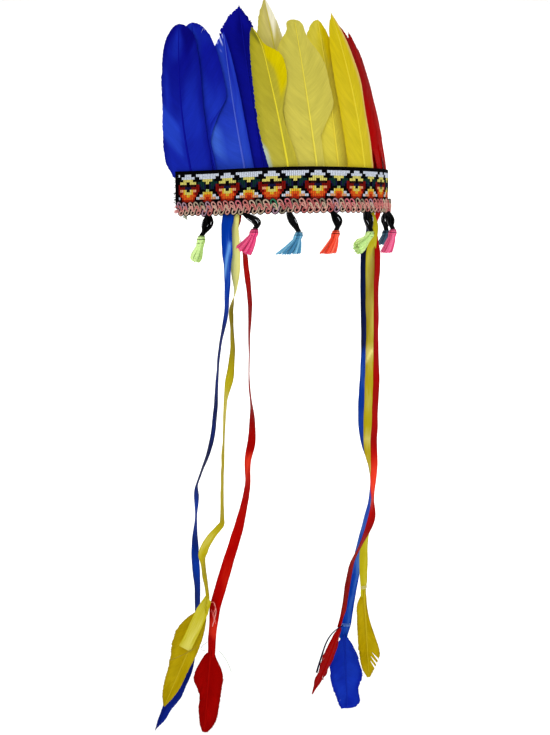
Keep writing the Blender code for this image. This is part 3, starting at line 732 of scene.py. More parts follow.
# %% [markdown]
# ## Feathers
#
# A goose feather is a stiff shaft with a vane on either side.  The vane is made
# of barbs, which leave the shaft at a slant and hook together, so it splits
# along the barbs and nowhere else.  That is why the vane is not an outline cut
# from a sheet here: its grid has one direction across and one along the barbs.
# Splits are cut along barb rows, and the clumps between them move apart.

# %% Feather materials
def feather_material(name, roughness, sheen):
    """Dyed vane: colour from the piece, streaks along the barbs."""
    material, tree, shader = surface(name, Roughness=roughness, Sheen_Weight=sheen, Sheen_Roughness=0.35,
                                     Specular_IOR_Level=0.05)
    barbs = node(tree, "ShaderNodeUVMap", uv_map="barbs").outputs["UV"]
    # real barbs are about 0.4 mm apart; they are drawn at 0.8 mm to show here
    fine = node(tree, "ShaderNodeMapping", {"Vector": barbs, "Scale": (1.6, 1.0, 1.0)})
    streak = node(tree, "ShaderNodeTexNoise", {
        "Vector": fine.outputs["Vector"], "Scale": 1.25, "Detail": 2.0})
    wide = node(tree, "ShaderNodeMapping", {"Vector": barbs, "Scale": (1.2, 0.12, 1.0)})
    cloud = node(tree, "ShaderNodeTexNoise", {"Vector": wide.outputs["Vector"], "Scale": 1.0, "Detail": 3.0})
    both = node(tree, "ShaderNodeMath", {0: streak.outputs["Fac"], 1: cloud.outputs["Fac"]}, operation="ADD")
    # the dye attribute also holds painted light, painted shade and painted glints from the feathers' patches
    colour = shaded(tree, "dye", both.outputs["Value"], (0.7, 1.3), (0.88, 1.12))
    dress(tree, shader, colour, streak.outputs["Fac"], 0.4, 0.0003)
    return material


dyed_vane = feather_material("dyed_goose_vane", 0.6, 0.02)
dyed_shaft = feather_material("dyed_goose_shaft", 0.42, 0.0)
print("feather materials:", dyed_vane.name, dyed_shaft.name)

# %% One feather
QUILL_ROOT = BAND_TOP - 0.019
VANE_ROOT = BAND_TOP - 0.006
QUILL_RADIUS = 0.0010
BARB_SLANT = 0.18
BARB_ROWS = 120
VANE_COLUMNS = 14
BARB_SPACING = 0.0008
VANE_THICKNESS = 0.00022
# splits lie above this share of the barb rows, and reach in to between these shares of the vane
LOWEST_SPLIT = 0.18
SPLIT_DEPTHS = (0.35, 0.8)
# how much the outer ends of a clump's barbs draw together
GATHER = 0.05
# barbs leave the shaft nearly level and curve up to the edge
BARB_CURVE = 1.25


def vane_width(share, root_share, blunt, point, low=1.0, notch=0.0):
    """Half width of a vane at a share of its height, as a share of its widest."""
    root = root_share + (1 - root_share) * smooth(share / 0.22)
    tip = max(1 - share ** blunt, 0.0) ** point
    step = low + (1 - low) * smooth((share - notch) / 0.24) if notch else 1.0
    return root * tip * step


def mix(first, second, share):
    """Colour between two linear colours."""
    return tuple(a + (b - a) * share for a, b in zip(first, second))


def feather(name, nodes, place, vane, sides, length, dyes, seed, ragged=0.035, splits=4, wave=0.0005,
            dye_and_light_patches=(), slits=()):
    """Feather with its vane from the share vane up, sides as functions of height."""
    pick = random.Random(seed)
    root_dye, tip_dye, left_edge, right_edge, light, shaft_dye = (linear(dye) for dye in dyes)
    mesh = bmesh.new()
    # the dye layer holds the feather's colour together with its painted light, painted shade and painted
    # glints
    dye = mesh.verts.layers.float_color.new("dye")
    barbs = mesh.loops.layers.uv.new("barbs")
    bmesh.ops.create_grid(mesh, x_segments=VANE_COLUMNS, y_segments=BARB_ROWS, size=1.0)
    # cut the splits along barb rows, from the edge to a depth of their own
    cuts = {-1: [], 1: []}
    for side in (-1, 1):
        for _ in range(splits):
            row = pick.randrange(int(BARB_ROWS * LOWEST_SPLIT), BARB_ROWS - 4)
            cuts[side].append((row, pick.uniform(*SPLIT_DEPTHS)))
        cuts[side].sort()
    torn = []
    for found in mesh.edges:
        first, second = (vert.co for vert in found.verts)
        if abs(first.y - second.y) > 1e-6:
            continue
        row = round((first.y + 1) / 2 * BARB_ROWS)
        side = 1 if first.x + second.x > 0 else -1
        if any(row == cut and min(abs(first.x), abs(second.x)) >= depth - 0.01 for cut, depth in cuts[side]):
            torn.append(found)
    bmesh.ops.split_edges(mesh, edges=torn)
    for face in mesh.faces:
        for loop in face.loops:
            x, y, _ = loop.vert.co
            loop[barbs].uv = (x, (y + 1) / 2 * length * (1 - vane) / BARB_SPACING)
    tips = {(side, row): pick.uniform(1 - ragged, 1.0) for side in (-1, 1) for row in range(BARB_ROWS + 1)}
    tips.update({(side, round(row * BARB_ROWS) + step): begin
                 for side, row, begin in slits for step in (0, 1)})
    clumps = {(side, clump): pick.uniform(1 - 1.6 * ragged, 1.0)
              for side in (-1, 1) for clump in range(splits + 1)}
    drift = pick.uniform(0, 50)
    for vert in mesh.verts:
        x, y, _ = vert.co
        side = 1 if x > 0 else -1
        across = abs(x)
        rows = [face.calc_center_median().y for face in vert.link_faces]
        middle_row = (sum(rows) / len(rows) + 1) / 2 * BARB_ROWS
        clump = sum(middle_row > cut for cut, _ in cuts[side])
        # a clump's rows draw together toward the edge
        bounds = [0] + [cut for cut, _ in cuts[side]] + [BARB_ROWS]
        centre = (bounds[clump] + bounds[clump + 1]) / 2
        row = (y + 1) / 2 * BARB_ROWS
        gather = GATHER * max(across - 0.35, 0.0) / 0.65 if centre < BARB_ROWS * 0.94 else 0.0
        row += (centre - row) * gather
        rise = -BARB_SLANT + (1 + BARB_SLANT) * row / BARB_ROWS
        start = max(rise, 0.01 * (rise + BARB_SLANT))
        end = max(rise + BARB_SLANT * (1 - start ** 6), start)
        reach = tips[side, round((y + 1) / 2 * BARB_ROWS)] * clumps[side, clump]
        reach = 1 - (1 - reach) * across
        share = start + (min(end, 1.0) - start) * (across * reach) ** BARB_CURVE
        width = max(sides[0 if side < 0 else 1](min(end, 1.0)), 0.0004)
        ripple = wave * across * noise.noise((x * 1.5 + drift, share * 6.0, clump * 3.0))
        cloud = smooth(0.5 + 1.6 * noise.noise((x * 1.2 + drift, share * 3.5, 4.0)))
        tint = mix(mix(root_dye, tip_dye, smooth(share)), light, 0.6 * cloud)
        tint = mix(tint, left_edge if side < 0 else right_edge, smooth((across - 0.72) / 0.28) * 0.7)
        # patches mix in dye colours, and also painted light, painted shade and painted glints
        for on_side, low, high, inner, patch_dye_and_light in dye_and_light_patches:
            if side == on_side and low < rise < high:
                fade = smooth(4 * min(rise - low, high - rise) / (high - low))
                tint = mix(tint, linear(patch_dye_and_light), fade * smooth((across - inner) / 0.25))
        vert[dye] = tint
        vert.co = (side * width * across * reach, share, ripple)
    for vert in mesh.verts:
        across, share, ripple = vert.co
        vert.co = place(vane + (1 - vane) * share, across, ripple)
    bmesh.ops.solidify(mesh, geom=mesh.faces, thickness=VANE_THICKNESS)
    # the shaft: a tapered tube through quill and vane
    before = len(mesh.faces)
    stamp(mesh, shaft_shape, lambda x, y, z: place(
        z * 0.985, x * QUILL_RADIUS * (1 - 0.78 * z), y * QUILL_RADIUS * (1 - 0.70 * z) + 0.0001),
        dye, shaft_dye, slot=1)
    mesh.faces.ensure_lookup_table()
    for face in mesh.faces[before:]:
        for loop in face.loops:
            loop[barbs].uv = (0.5, 0.5)
    return keep(name, mesh, [dyed_vane, dyed_shaft], nodes, angle=50)


print("a feather takes", 2 * VANE_COLUMNS * BARB_ROWS, "faces before its shaft")

# %% [markdown]
# ## Crown
#
# Thirteen feathers stand behind the band in three colour groups.  Their places
# and widths are set one by one from the photograph: rounded ones in front,
# pointed ones behind, and some whose right vane is narrow at the foot.

# %% Crown feathers
HALF_WIDTH = 0.020
# layers part by this much up to the band's top, and by this much more up to the crown's
LAYER_STEP = 0.0022
LAYER_SPREAD = 0.0007
SHAFT_INSET = 0.0009
# the front yellow feather's tip curls over to the left from this share on
CURL_START = 0.86
CURL_REACH = 0.0045
# root, tip, left edge, right edge, light cloud, shaft
DYES = {
    "blue_1": ("#1424a2", "#08087e", "#06066a", "#080878", "#182eb0", "#0c1090"),
    "blue_2": ("#1626a6", "#0c128e", "#0e1492", "#0a1084", "#1e38b8", "#0c1292"),
    "blue_3": ("#2440b8", "#121c9e", "#2036ae", "#1626a6", "#2846bc", "#4c60cc"),
    "blue_4": ("#101698", "#04046a", "#0a0c88", "#020254", "#0c1090", "#10149a"),
    "yellow_1": ("#aea43c", "#a0961c", "#8a8622", "#b6a832", "#aaa02e", "#e0d236"),
    "yellow_2": ("#b8ac4a", "#bcb066", "#aca03c", "#d2cca0", "#c0b65a", "#cabf40"),
    "yellow_3": ("#c4b84e", "#bab04a", "#b6aa3e", "#c4b850", "#beb44c", "#e4d64e"),
    "yellow_4": ("#d6c640", "#c6b628", "#baac2c", "#c8b826", "#cabc44", "#e2d044"),
    "yellow_5": ("#cdb72a", "#c8b20c", "#c2ac0e", "#d8b07a", "#c9b71e", "#decc36"),
    "red": ("#aa0000", "#800000", "#840000", "#900000", "#a80200", "#a80402"),
}
# the red feathers turn a little toward the front and lean further in
RED_TWIST = math.tan(math.radians(12))
RED_CLOSE = math.tan(math.radians(2.5))
# name: (layer, base, drift, top, left, right, blunt, point, low, notch, ragged)
CROWN = {
    "blue_1": (0, -0.920, 0.55, 0.905, 0.88, 1.05, 7.0, 0.50, 1.00, 0.00, 0.03),
    "blue_2": (1, -0.760, 0.05, 0.908, 1.00, 1.20, 5.5, 0.50, 0.10, 0.30, 0.02),
    "blue_3": (2, -0.545, 0.05, 0.830, 1.45, 0.40, 3.4, 0.80, 1.00, 0.00, 0.02),
    "blue_4": (4, -0.424, 0.10, 0.998, 1.42, 0.78, 14.0, 1.00, 1.00, 0.00, 0.09),
    "yellow_1": (0, -0.256, -0.25, 0.840, 0.68, 0.90, 9.0, 0.60, 0.45, 0.35, 0.04),
    "yellow_2": (3, -0.204, 0.00, 1.035, 0.80, 0.60, 7.0, 1.00, 1.00, 0.00, 0.04),
    "yellow_3": (1, -0.066, 0.20, 0.893, 1.04, 1.15, 9.0, 0.42, 0.30, 0.25, 0.02),
    "yellow_4": (2, 0.105, 0.45, 0.912, 1.05, 0.75, 6.0, 0.50, 1.00, 0.00, 0.03),
    "yellow_5": (0, 0.310, -0.18, 0.962, 0.95, 0.88, 5.5, 1.00, 0.78, 0.38, 0.02),
    "red_1": (2, 0.490, 0.25, 0.925, 0.80, 1.00, 8.0, 0.80, 1.00, 0.00, 0.05),
    "red_2": (1, 0.645, 0.30, 0.900, 0.90, 0.95, 6.0, 0.60, 1.00, 0.00, 0.10),
    "red_3": (0, 0.790, 0.00, 0.810, 0.95, 0.95, 6.0, 0.60, 1.00, 0.00, 0.10),
    "red_4": (2, 0.930, -0.25, 0.770, 0.85, 0.70, 6.0, 0.60, 1.00, 0.00, 0.10),
}
# outline in mm of the front yellow feather: share, left and right reach
CURLED = ((0, 14.5, 9), (0.127, 15.9, 8), (0.2, 16.5, 7), (0.305, 16.9, 5), (0.394, 16.6, 4.2),
          (0.483, 16.1, 5.2), (0.57, 15.3, 9.5), (0.64, 14.2, 13), (0.75, 12.6, 15), (0.83, 11.2, 13.5),
          (0.865, 10.4, 8.5), (0.895, 9.4, 2.6), (0.93, 7.6, 1.4), (0.97, 4.6, 0.9), (1.0, 0.5, 0.4))
# how an outline leaves the even one: share, left and right factor
EVEN = ((0, 1, 1), (1, 1, 1))
UNEVEN = {
    "blue_1": ((0, .98, 1), (.03, 1, 1), (.10, 1.23, 1), (.21, 1.25, 1), (.34, 1.13, 1), (.48, 1, 1),
               (1, 1, 1)),
    "yellow_3": ((0, 1, 1), (.70, 1, 1), (.80, .97, .82), (.865, .80, .58), (.935, .56, .48), (.98, .74, .62),
                 (1, .8, .7)),
}
# patches of dye, and of painted light, painted shade and painted glints: side, from and to along the vane,
# inner edge across it, colour
DYE_AND_PAINTED_LIGHT_PATCHES = {
    # blue_1: painted light on the lower left, and painted shade high on the right
    "blue_1": ((-1, 0.08, 0.36, 0.10, "#203cb8"), (1, 0.70, 0.98, 0.30, "#070770")),
    # blue_3: a lighter patch at its foot, and three narrow pale bands high on the left that are painted
    # glints on the barbs
    "blue_3": ((-1, 0.00, 0.30, 0.45, "#3a60cc"), (-1, 0.80, 0.815, 0.50, "#b9c2f0"),
               (-1, 0.86, 0.875, 0.45, "#c9d0f6"), (-1, 0.91, 0.925, 0.55, "#b9c2f0")),
    # yellow_1: a saturated dye patch on the right, painted shade on the left where the tip curls over, and
    # pale down at the foot
    "yellow_1": ((1, 0.42, 0.84, 0.25, "#c6b400"), (-1, 0.84, 1.02, 0.10, "#77741c"),
                 (-1, -0.18, 0.08, 0.68, "#a8b8a8")),
    "yellow_2": ((1, 0.70, 1.00, 0.15, "#e2ddc0"),),
    "yellow_4": ((1, 0.62, 0.98, 0.20, "#cfbb08"),),
}

def sides_in_mm(rows):
    """Left and right reach of an outline that is given in mm."""
    return lambda s: follow(rows, s)[0] / 1000, lambda s: follow(rows, s)[1] / 1000


for number, (name, row) in enumerate(CROWN.items()):
    layer, base, drift, top, left, right, blunt, point, low, notch, ragged = row
    tip = BAND_TOP + top * CROWN_HEIGHT
    red = name.startswith("red")
    twist = RED_TWIST * (0.3 if name == "red_4" else 1.0)

    def crown_place(share, across, rise):
        height = QUILL_ROOT + (tip - QUILL_ROOT) * share
        depth = layer * (LAYER_STEP * smooth((height - QUILL_ROOT) / (BAND_TOP - QUILL_ROOT))
                         + LAYER_SPREAD * max(height - BAND_TOP, 0.0) / CROWN_HEIGHT)
        along = base * HALF_BAND + drift * HALF_WIDTH * share * share + across
        if red:
            above = smooth((height - BAND_TOP) / 0.03)
            depth += RED_CLOSE * max(height - BAND_TOP, 0.0) - twist * across * above
        if name == "yellow_1":
            along -= CURL_REACH * max((share - CURL_START) / (1 - CURL_START), 0.0) ** 2
        return crown_point(along, height, depth + SHAFT_INSET - rise)

    uneven = UNEVEN.get(name, EVEN)
    vane_sides = (
        lambda s: left * HALF_WIDTH * vane_width(s, 1.0, blunt, point) * follow(uneven, s)[0],
        lambda s: right * HALF_WIDTH * vane_width(s, 1.0, blunt, point, low, notch) * follow(uneven, s)[1],
    )
    if name == "yellow_1":
        vane_sides = sides_in_mm(CURLED)
    group = name.split("_")[0]
    feather("crown_" + name, ["feather_" + name], crown_place,
            (VANE_ROOT - QUILL_ROOT) / (tip - QUILL_ROOT), vane_sides, tip - QUILL_ROOT,
            DYES.get(name) or DYES[group], seed=number + 11, ragged=ragged, dye_and_light_patches=DYE_AND_PAINTED_LIGHT_PATCHES.get(name, ()))

# %% [markdown]
# ## Satin ribbons
#
# Six ribbons of 10 mm single-face satin are sewn inside the band and hang
# freely.  Satin has long floats along its length, so it has a bright, smeared
# highlight that runs across the ribbon where it bends: the material stretches
# its highlight along the ribbon's own direction.  A tone is painted along each
# ribbon as well: painted shade in its folds and at its edges, and painted
# highlights across its bends.

# %% Ribbon material
def satin_material(name, dark, middle, bright):
    """Satin: fine lengthwise floats; a painted tone from dark to bright gives painted shade and painted
    highlights where the ribbon is folded.
    """
    material, tree, shader = surface(name, Roughness=0.40, Anisotropic=0.6, Specular_IOR_Level=0.05)
    run = node(tree, "ShaderNodeUVMap", uv_map="run").outputs["UV"]
    # the tone attribute holds the ribbon's painted shade and painted highlights
    tone = node(tree, "ShaderNodeAttribute", attribute_name="tone")
    # real floats are about 0.15 mm wide; they are drawn at 0.3 mm to show here
    wide = node(tree, "ShaderNodeMapping", {"Vector": run, "Scale": (33.0, 0.8, 1.0)})
    floats = node(tree, "ShaderNodeTexNoise", {"Vector": wide.outputs["Vector"], "Scale": 1.0, "Detail": 2.0})
    slow = node(tree, "ShaderNodeMapping", {"Vector": run, "Scale": (0.9, 0.25, 1.0)})
    fold = node(tree, "ShaderNodeTexNoise", {"Vector": slow.outputs["Vector"], "Scale": 1.0, "Detail": 1.0})
    both = node(tree, "ShaderNodeMath", {0: floats.outputs["Fac"], 1: fold.outputs["Fac"]}, operation="ADD")
    vary = node(tree, "ShaderNodeMapRange", {"Value": both.outputs["Value"], "From Min": 0.7, "From Max": 1.3,
                                             "To Min": -0.14, "To Max": 0.14})
    level = node(tree, "ShaderNodeMath", {0: tone.outputs["Fac"], 1: vary.outputs["Result"]}, operation="ADD")
    ramp = node(tree, "ShaderNodeValToRGB", {"Fac": level.outputs["Value"]})
    ramp.color_ramp.elements[0].color = linear(dark)
    ramp.color_ramp.elements[1].color = linear(bright)
    ramp.color_ramp.elements.new(0.5).color = linear(middle)
    dress(tree, shader, ramp.outputs["Color"], floats.outputs["Fac"], 0.25, 0.0002)
    tangent = node(tree, "ShaderNodeTangent", direction_type="UV_MAP", uv_map="run")
    tree.links.new(tangent.outputs["Tangent"], shader.inputs["Tangent"])
    return material


satin = {
    "blue": satin_material("blue_polyester_satin", "#040a3a", "#0438a8", "#72b0f4"),
    "yellow": satin_material("yellow_polyester_satin", "#867a0a", "#b8ac16", "#f2ee8c"),
    "red": satin_material("red_polyester_satin", "#700200", "#b00402", "#ee3a22"),
}
# painted light along each ribbon from its seat down: (drop, tone); 0 is painted shade, 0.5 full colour, 1 a
# painted highlight
PAINTED_LIGHT_TONES = {
    "left_blue": ((0, .42), (.05, .48), (.12, .50), (.2, .42), (.24, .14), (.5, .06),
                  (.6, .12), (.64, .32), (.72, .14), (.78, .34), (.85, .24), (.98, .26)),
    "left_yellow": ((0, .95), (.06, 1.0), (.12, 1.0), (.17, .85), (.19, 0), (.235, .05), (.26, .2), (.33, .4),
                    (.38, .65), (.42, .6), (.5, .42), (.66, .34), (.69, .54), (.74, .48), (.77, .34),
                    (.85, .45)),
    "left_red": ((0, .4), (.1, .4), (.2, .3), (.3, .5), (.42, .25), (.5, .4), (.53, .95), (.56, .7),
                 (.6, .45), (.8, .5), (.88, .45), (.895, .8), (.925, .75), (.94, .35), (.98, .35)),
    "right_blue": ((0, .2), (.09, .04), (.29, .04), (.31, .5), (.45, .45), (.6, .3), (.7, .55), (.9, .52),
                   (.98, .4)),
    "right_yellow": ((0, .3), (.1, .62), (.2, .64), (.28, .56), (.305, .78), (.33, .55), (.47, .52), (.5, .8),
                     (.53, .5), (.7, .55), (.87, .45)),
    "right_red": ((0, .6), (.1, .32), (.5, .32), (.56, .9), (.61, .85), (.65, .35), (.7, .2), (.8, .12),
                  (.93, .12)),
}
# a painted highlight runs aslant across a fold: from and to a drop, its place across at both, strength
PAINTED_HIGHLIGHTS = {"left_blue": (0.045, 0.12, 0.40, -0.34, 0.42), "right_blue": (0.74, 0.93, 0.10, 0.30, 0.05),
           "left_red": (0.50, 0.57, 0.35, -0.30, 0.25), "right_red": (0.56, 0.66, 0.30, -0.20, 0.20),
           "left_yellow": (0.08, 0.17, -0.30, 0.20, 0.15), "right_yellow": (0.295, 0.325, 0.45, -0.45, 0.35)}
# half width of a painted highlight as a share of the ribbon, and how much painted shade darkens the edges
HIGHLIGHT_WIDTH = 0.17
PAINTED_EDGE_SHADE = 0.16
print("satins:", [material.name for material in satin.values()])


def between(rows, share):
    """Value at share, straight between (share, value) rows."""
    for (low, first), (high, second) in zip(rows, rows[1:]):
        if share <= high:
            return first + (second - first) * max(share - low, 0.0) / (high - low)
    return rows[-1][1]


def painted_fold_light(name, drop, x):
    """Painted tone of a ribbon at a drop and a place across: painted light along it, a painted highlight on
    its fold and painted shade at its edges.
    """
    start, end, first, last, strength = PAINTED_HIGHLIGHTS[name]
    part = (drop - start) / (end - start)
    fade = smooth(part * 4) * smooth((1.3 - part) * 3)
    off = x - first - (last - first) * min(max(part, 0.0), 1.0)
    edge = smooth((abs(x) - 0.34) / 0.16)
    fold = math.exp(-(off / HIGHLIGHT_WIDTH) ** 2)
    return between(PAINTED_LIGHT_TONES[name], drop) + strength * fade * fold - PAINTED_EDGE_SHADE * edge


# %% Ribbons
RIBBON_ROWS = 170
RIBBON_COLUMNS = 10
RIBBON_THICKNESS = 0.0003
# a ribbon is about this many times as long as wide, and its cut tail this many
RIBBON_WIDTHS = 38
TAIL_WIDTHS = 4
TAIL_LENGTH = 0.039
# the last part of the length is gathered in pleats, and the rest is cupped here and there
GATHER_PART = 0.96
PLEAT = 0.0009
CUP = 0.0005
MEASURING_STEPS = 400
NARROWING = {"left_blue": 0.5, "left_yellow": 0.55, "left_red": 0.15, "right_blue": 0.30,
             "right_yellow": 0.25, "right_red": 0.5}
# how far the gathered end reaches over the quill of its feather
TIED = {"right_blue": 0.0125}
TIED_REACH = 0.008


def ribbon_way(name, drop):
    """Direction down a ribbon at a drop."""
    return (ribbon_at(name, drop + 0.01)[0] - ribbon_at(name, max(drop - 0.01, 0))[0]).normalized()


def lay_run(faces, run, widths):
    """Note how far across and down each corner of a flat ribbon lies, in widths."""
    for face in faces:
        for loop in face.loops:
            loop[run].uv = (loop.vert.co.x, loop.vert.co.y * widths)


for name, (colour, seat_share, layer_in, drop) in RIBBONS.items():
    mesh = bmesh.new()
    run = mesh.loops.layers.uv.new("run")
    # the tone layer holds the ribbon's painted shade and painted highlights
    tone = mesh.verts.layers.float.new("tone")
    _, faces = add_grid(mesh, RIBBON_COLUMNS, RIBBON_ROWS, (0, 0.5))
    lay_run(faces, run, RIBBON_WIDTHS)
    seat_part = RIBBON_SEAT / (RIBBON_SEAT + drop * RIBBON_DROP)
    foot, foot_width, foot_way = ribbon_foot(name)

    def ribbon_place(x, y, z):
        if y < seat_part:
            middle, width_way = ribbon_at(name, 0.0)
            way = DOWN
            middle = middle + Vector((0, 0, RIBBON_SEAT * (1 - y / seat_part)))
        else:
            at = (y - seat_part) / (1 - seat_part)
            reach = at * (drop + TIED.get(name, TIED_REACH) / RIBBON_DROP)
            if reach <= drop:
                middle, width_way = ribbon_at(name, reach)
                way = ribbon_way(name, reach)
            else:
                middle = foot + foot_way * ((reach - drop) * RIBBON_DROP)
                width_way, way = foot_width, foot_way
        width_way = (width_way - way * width_way.dot(way)).normalized()
        normal = way.cross(width_way)
        draw = smooth((y - GATHER_PART) / (1 - GATHER_PART))
        width = RIBBON_WIDTH * (1 - NARROWING[name] * draw)
        pleat = PLEAT * draw * math.cos(x * 6 * math.pi)
        dip = noise.noise((x * 0.8, y * 30, layer_in * 7.0 + seat_share * 9))
        cup = CUP * (1 - draw) * dip * smooth(y * 20)
        return middle + width_way * (x * width) + normal * (pleat + cup)

    points = [ribbon_place(0, step / MEASURING_STEPS, 0) for step in range(MEASURING_STEPS + 1)]
    length = sum((second - first).length for first, second in zip(points, points[1:]))
    # each vertex gets its painted tone: painted light along the ribbon, a painted highlight on its fold and
    # painted shade at its edges
    for vert in mesh.verts:
        reach = (vert.co.y - seat_part) / (1 - seat_part) * drop
        vert[tone] = painted_fold_light(name, max(reach, 0.0), vert.co.x)
    lay(mesh.verts, ribbon_place)
    if name == "left_yellow":
        # its cut end lies over the feather
        tail, faces = add_grid(mesh, 4, 24, (0, 0.5))
        lay_run(faces, run, TAIL_WIDTHS)
        # the tail's painted tone grows a little brighter toward its cut end, with painted shade at its edges
        for vert in tail:
            vert[tone] = 0.56 + 0.10 * vert.co.y - 0.15 * smooth((abs(vert.co.x) - 0.3) / 0.3)

        def tail_place(x, y, z):
            side = 1.0 - 18.6 * y + 8.6 * x * min(0.5 + 2 * y, 1.0)
            back = -2.2 - 4.2 * y + 0.8 * math.sin(7 * y)
            return foot + hanging(side / 1000, back / 1000, (6.5 - 39.5 * y - 4.8 * x) / 1000)

        lay(tail, tail_place)
        length += TAIL_LENGTH
    bmesh.ops.solidify(mesh, geom=mesh.faces, thickness=RIBBON_THICKNESS)
    ribbon = keep("satin_ribbon_" + name, mesh, [satin[colour]], ["ribbon_" + name])
    print("ribbon", name, "flat length", round(length * 1000), "mm")

# %% [markdown]
# ## Feathers at the ribbon ends
#
# Each ribbon ends in a feather of its own colour, shorter and rounder than
# those of the crown, tied into the gathered ribbon by its bare quill.

# %% End feathers
END_LENGTH = 0.070
# name: (length, lean, turn, bend, root below the ribbon's foot)
END_FEATHERS = {
    "left_blue": (1.24, -24.5, -38, 0.00, 0.003),
    "left_yellow": (1.27, -23, -10, 0.00, 0.002),
    "left_red": (1.00, -5, -10, 0.00, 0.003),
    "right_blue": (0.94, 3, 4, 0.00, 0.009),
    "right_yellow": (1.08, 4, 6, 0.00, 0.003),
    "right_red": (0.96, -20, 56, 0.03, 0.003),
}
# quill below the vane, as a share of the length, and how much the vane folds back from the shaft
END_QUILL = 0.04
END_FOLD = 0.06
# slits between barbs: side, share of the vane's rows, how far out the slit begins
SLITS = {"right_yellow": ((1, 0.70, 0.40), (1, 0.75, 0.28), (1, 0.80, 0.30))}
# outline in mm: share of the length, left and right reach; crushed and uneven as the real ones
PLAIN = ((0, 1, 1), (0.10, 4, 4), (0.30, 10, 10), (0.50, 12, 12), (0.70, 11, 11), (0.86, 7, 7),
         (1.0, 0.6, 0.6))
OUTLINES = {
    "left_blue": ((0, 1, 1), (0.10, 2, 4.5), (0.22, 3, 7), (0.36, 4, 9.4), (0.55, 4.2, 9.2), (0.72, 4, 5.6),
                  (0.86, 2.6, 4.4), (1.0, 0.4, 0.4)),
    "left_yellow": ((0, 4.5, 1.5), (0.06, 8.5, 3.5), (0.12, 11.5, 4.8), (0.235, 15.6, 6.6),
                    (0.333, 16.8, 7.4), (0.457, 14.4, 7.6), (0.632, 10.8, 6.6), (0.80, 8.6, 6.0),
                    (0.92, 5.6, 3.4), (1.0, 1.2, 0.6)),
    "left_red": ((0, 4.0, 4.0), (0.05, 6, 4.8), (0.18, 10, 9.6), (0.31, 13, 12.3), (0.41, 12.5, 11.8),
                 (0.57, 7.2, 11.2), (0.70, 6.9, 10.6), (0.82, 5.8, 9.6), (0.93, 4.3, 6.9), (1.0, 2.0, 2.6)),
    "right_blue": ((0, 3.4, 3.6), (0.117, 8.0, 7.2), (0.283, 12.2, 11.2), (0.367, 14.2, 12.8),
                   (0.533, 14.4, 15.6), (0.617, 14.2, 15.0), (0.70, 12.9, 12.6), (0.783, 11, 11.2),
                   (0.867, 9.2, 11.8), (0.95, 8.0, 11.6), (1.0, 6.0, 8.0)),
    "right_yellow": ((0, 2, 2), (0.05, 3.8, 2.2), (0.15, 6.9, 2.0), (0.275, 7.7, 3.0), (0.40, 7.9, 5.0),
                     (0.525, 8.0, 7.5), (0.65, 8.0, 10.2), (0.75, 7.4, 11.2), (0.81, 7.0, 10.0),
                     (0.925, 5.1, 5.6), (1.0, 2.0, 1.8)),
    "right_red": PLAIN,
}
END_DYES = {
    "left_blue": ("#0c1e7e", "#0a1868", "#081258", "#142a88", "#10248a", "#0c1a72"),
    "blue": ("#0e28a0", "#0c229a", "#08168a", "#08168a", "#1636ae", "#102aa2"),
    "yellow": ("#aa9002", "#a08802", "#927a04", "#9c8208", "#b69f10", "#bea81c"),
    "red": ("#8c0100", "#860100", "#760100", "#760100", "#960301", "#9c0502"),
}

for number, (name, (size, lean, turn, bend, below)) in enumerate(END_FEATHERS.items()):
    length = size * END_LENGTH
    lean, turn = math.radians(lean), math.radians(turn)
    foot, _, foot_way = ribbon_foot(name)
    axis = hanging(math.sin(lean), 0.0, -math.cos(lean))
    across_way = hanging(math.cos(turn), math.sin(turn))
    across_way = (across_way - axis * across_way.dot(axis)).normalized()
    face_way = axis.cross(across_way)
    bow_way = hanging(math.cos(lean), 0.0, math.sin(lean))
    root = foot + foot_way * below

    def end_place(share, across, rise):
        bow = bend * length * 4 * share * (1 - share)
        return (root + axis * (share * length) + bow_way * bow + across_way * across
                + face_way * (rise - END_FOLD * abs(across)))

    colour = name.split("_")[1]
    feather("hanging_feather_" + name, ["end_feather_" + name], end_place, END_QUILL,
            sides_in_mm(OUTLINES[name]), length, END_DYES.get(name) or END_DYES[colour], seed=number + 61,
            ragged=0.05, splits=0 if name == "left_blue" else 3, wave=0.0016, slits=SLITS.get(name, ()))

# %% [markdown]
# ## Loose threads
#
# Where the ribbons are tied to the feathers, sewing thread was left uncut: pink
# loops on the red ribbon, a few pale ends beside it, and one bare dark quill
# beside the red feather on the right.  They are thin tubes along curves that
# are given in millimetres from the foot of their ribbon.

# %% Loose threads and a bare quill
def thread_way(name, rows):
    """Path through rows of (share, side, back, down) in mm from a ribbon's foot."""
    origin = ribbon_foot(name)[0]

    def path(z):
        side, back, down = follow(rows, z)
        return origin + hanging(side / 1000, back / 1000, -down / 1000)
    return path


THREADS = (
    ("left_red", 0.00028, "#ee7c74", ((0, -1.0, -3, -37), (.25, 2.2, -4, -38.5), (.5, 3.8, -4, -34),
                                      (.75, 2.4, -4, -29), (1, 3.4, -3, -22))),
    ("left_red", 0.00026, "#f0a49c", ((0, 2.6, -3, -37), (.4, 4.2, -4, -31), (1, 1.2, -3, -18))),
    ("left_red", 0.00024, "#e66a66", ((0, 0.6, -3, -32), (.5, 2.2, -4, -25), (1, 3.8, -3, -20))),
    ("left_red", 0.00018, "#6d8a86", ((0, -3, -3, -5), (.3, -7, -4, -2), (.6, -8, -4, 1), (1, -5, -3, 2))),
    ("left_red", 0.00018, "#8a9c86", ((0, 6, -3, 2), (.4, 11, -4, 8), (.7, 14, -4, 14), (1, 16, -4, 20))),
    ("left_yellow", 0.00034, "#9c8412", ((0, -30, -6, 43), (.5, -19, -7.5, 37.5), (1, -8, -5, 32))),
)
mesh, yarn = yarn_mesh()
for name, radius, colour, rows in THREADS:
    stamp(mesh, cord_shape, along_path(thread_way(name, rows), lambda z: radius), yarn, linear(colour))
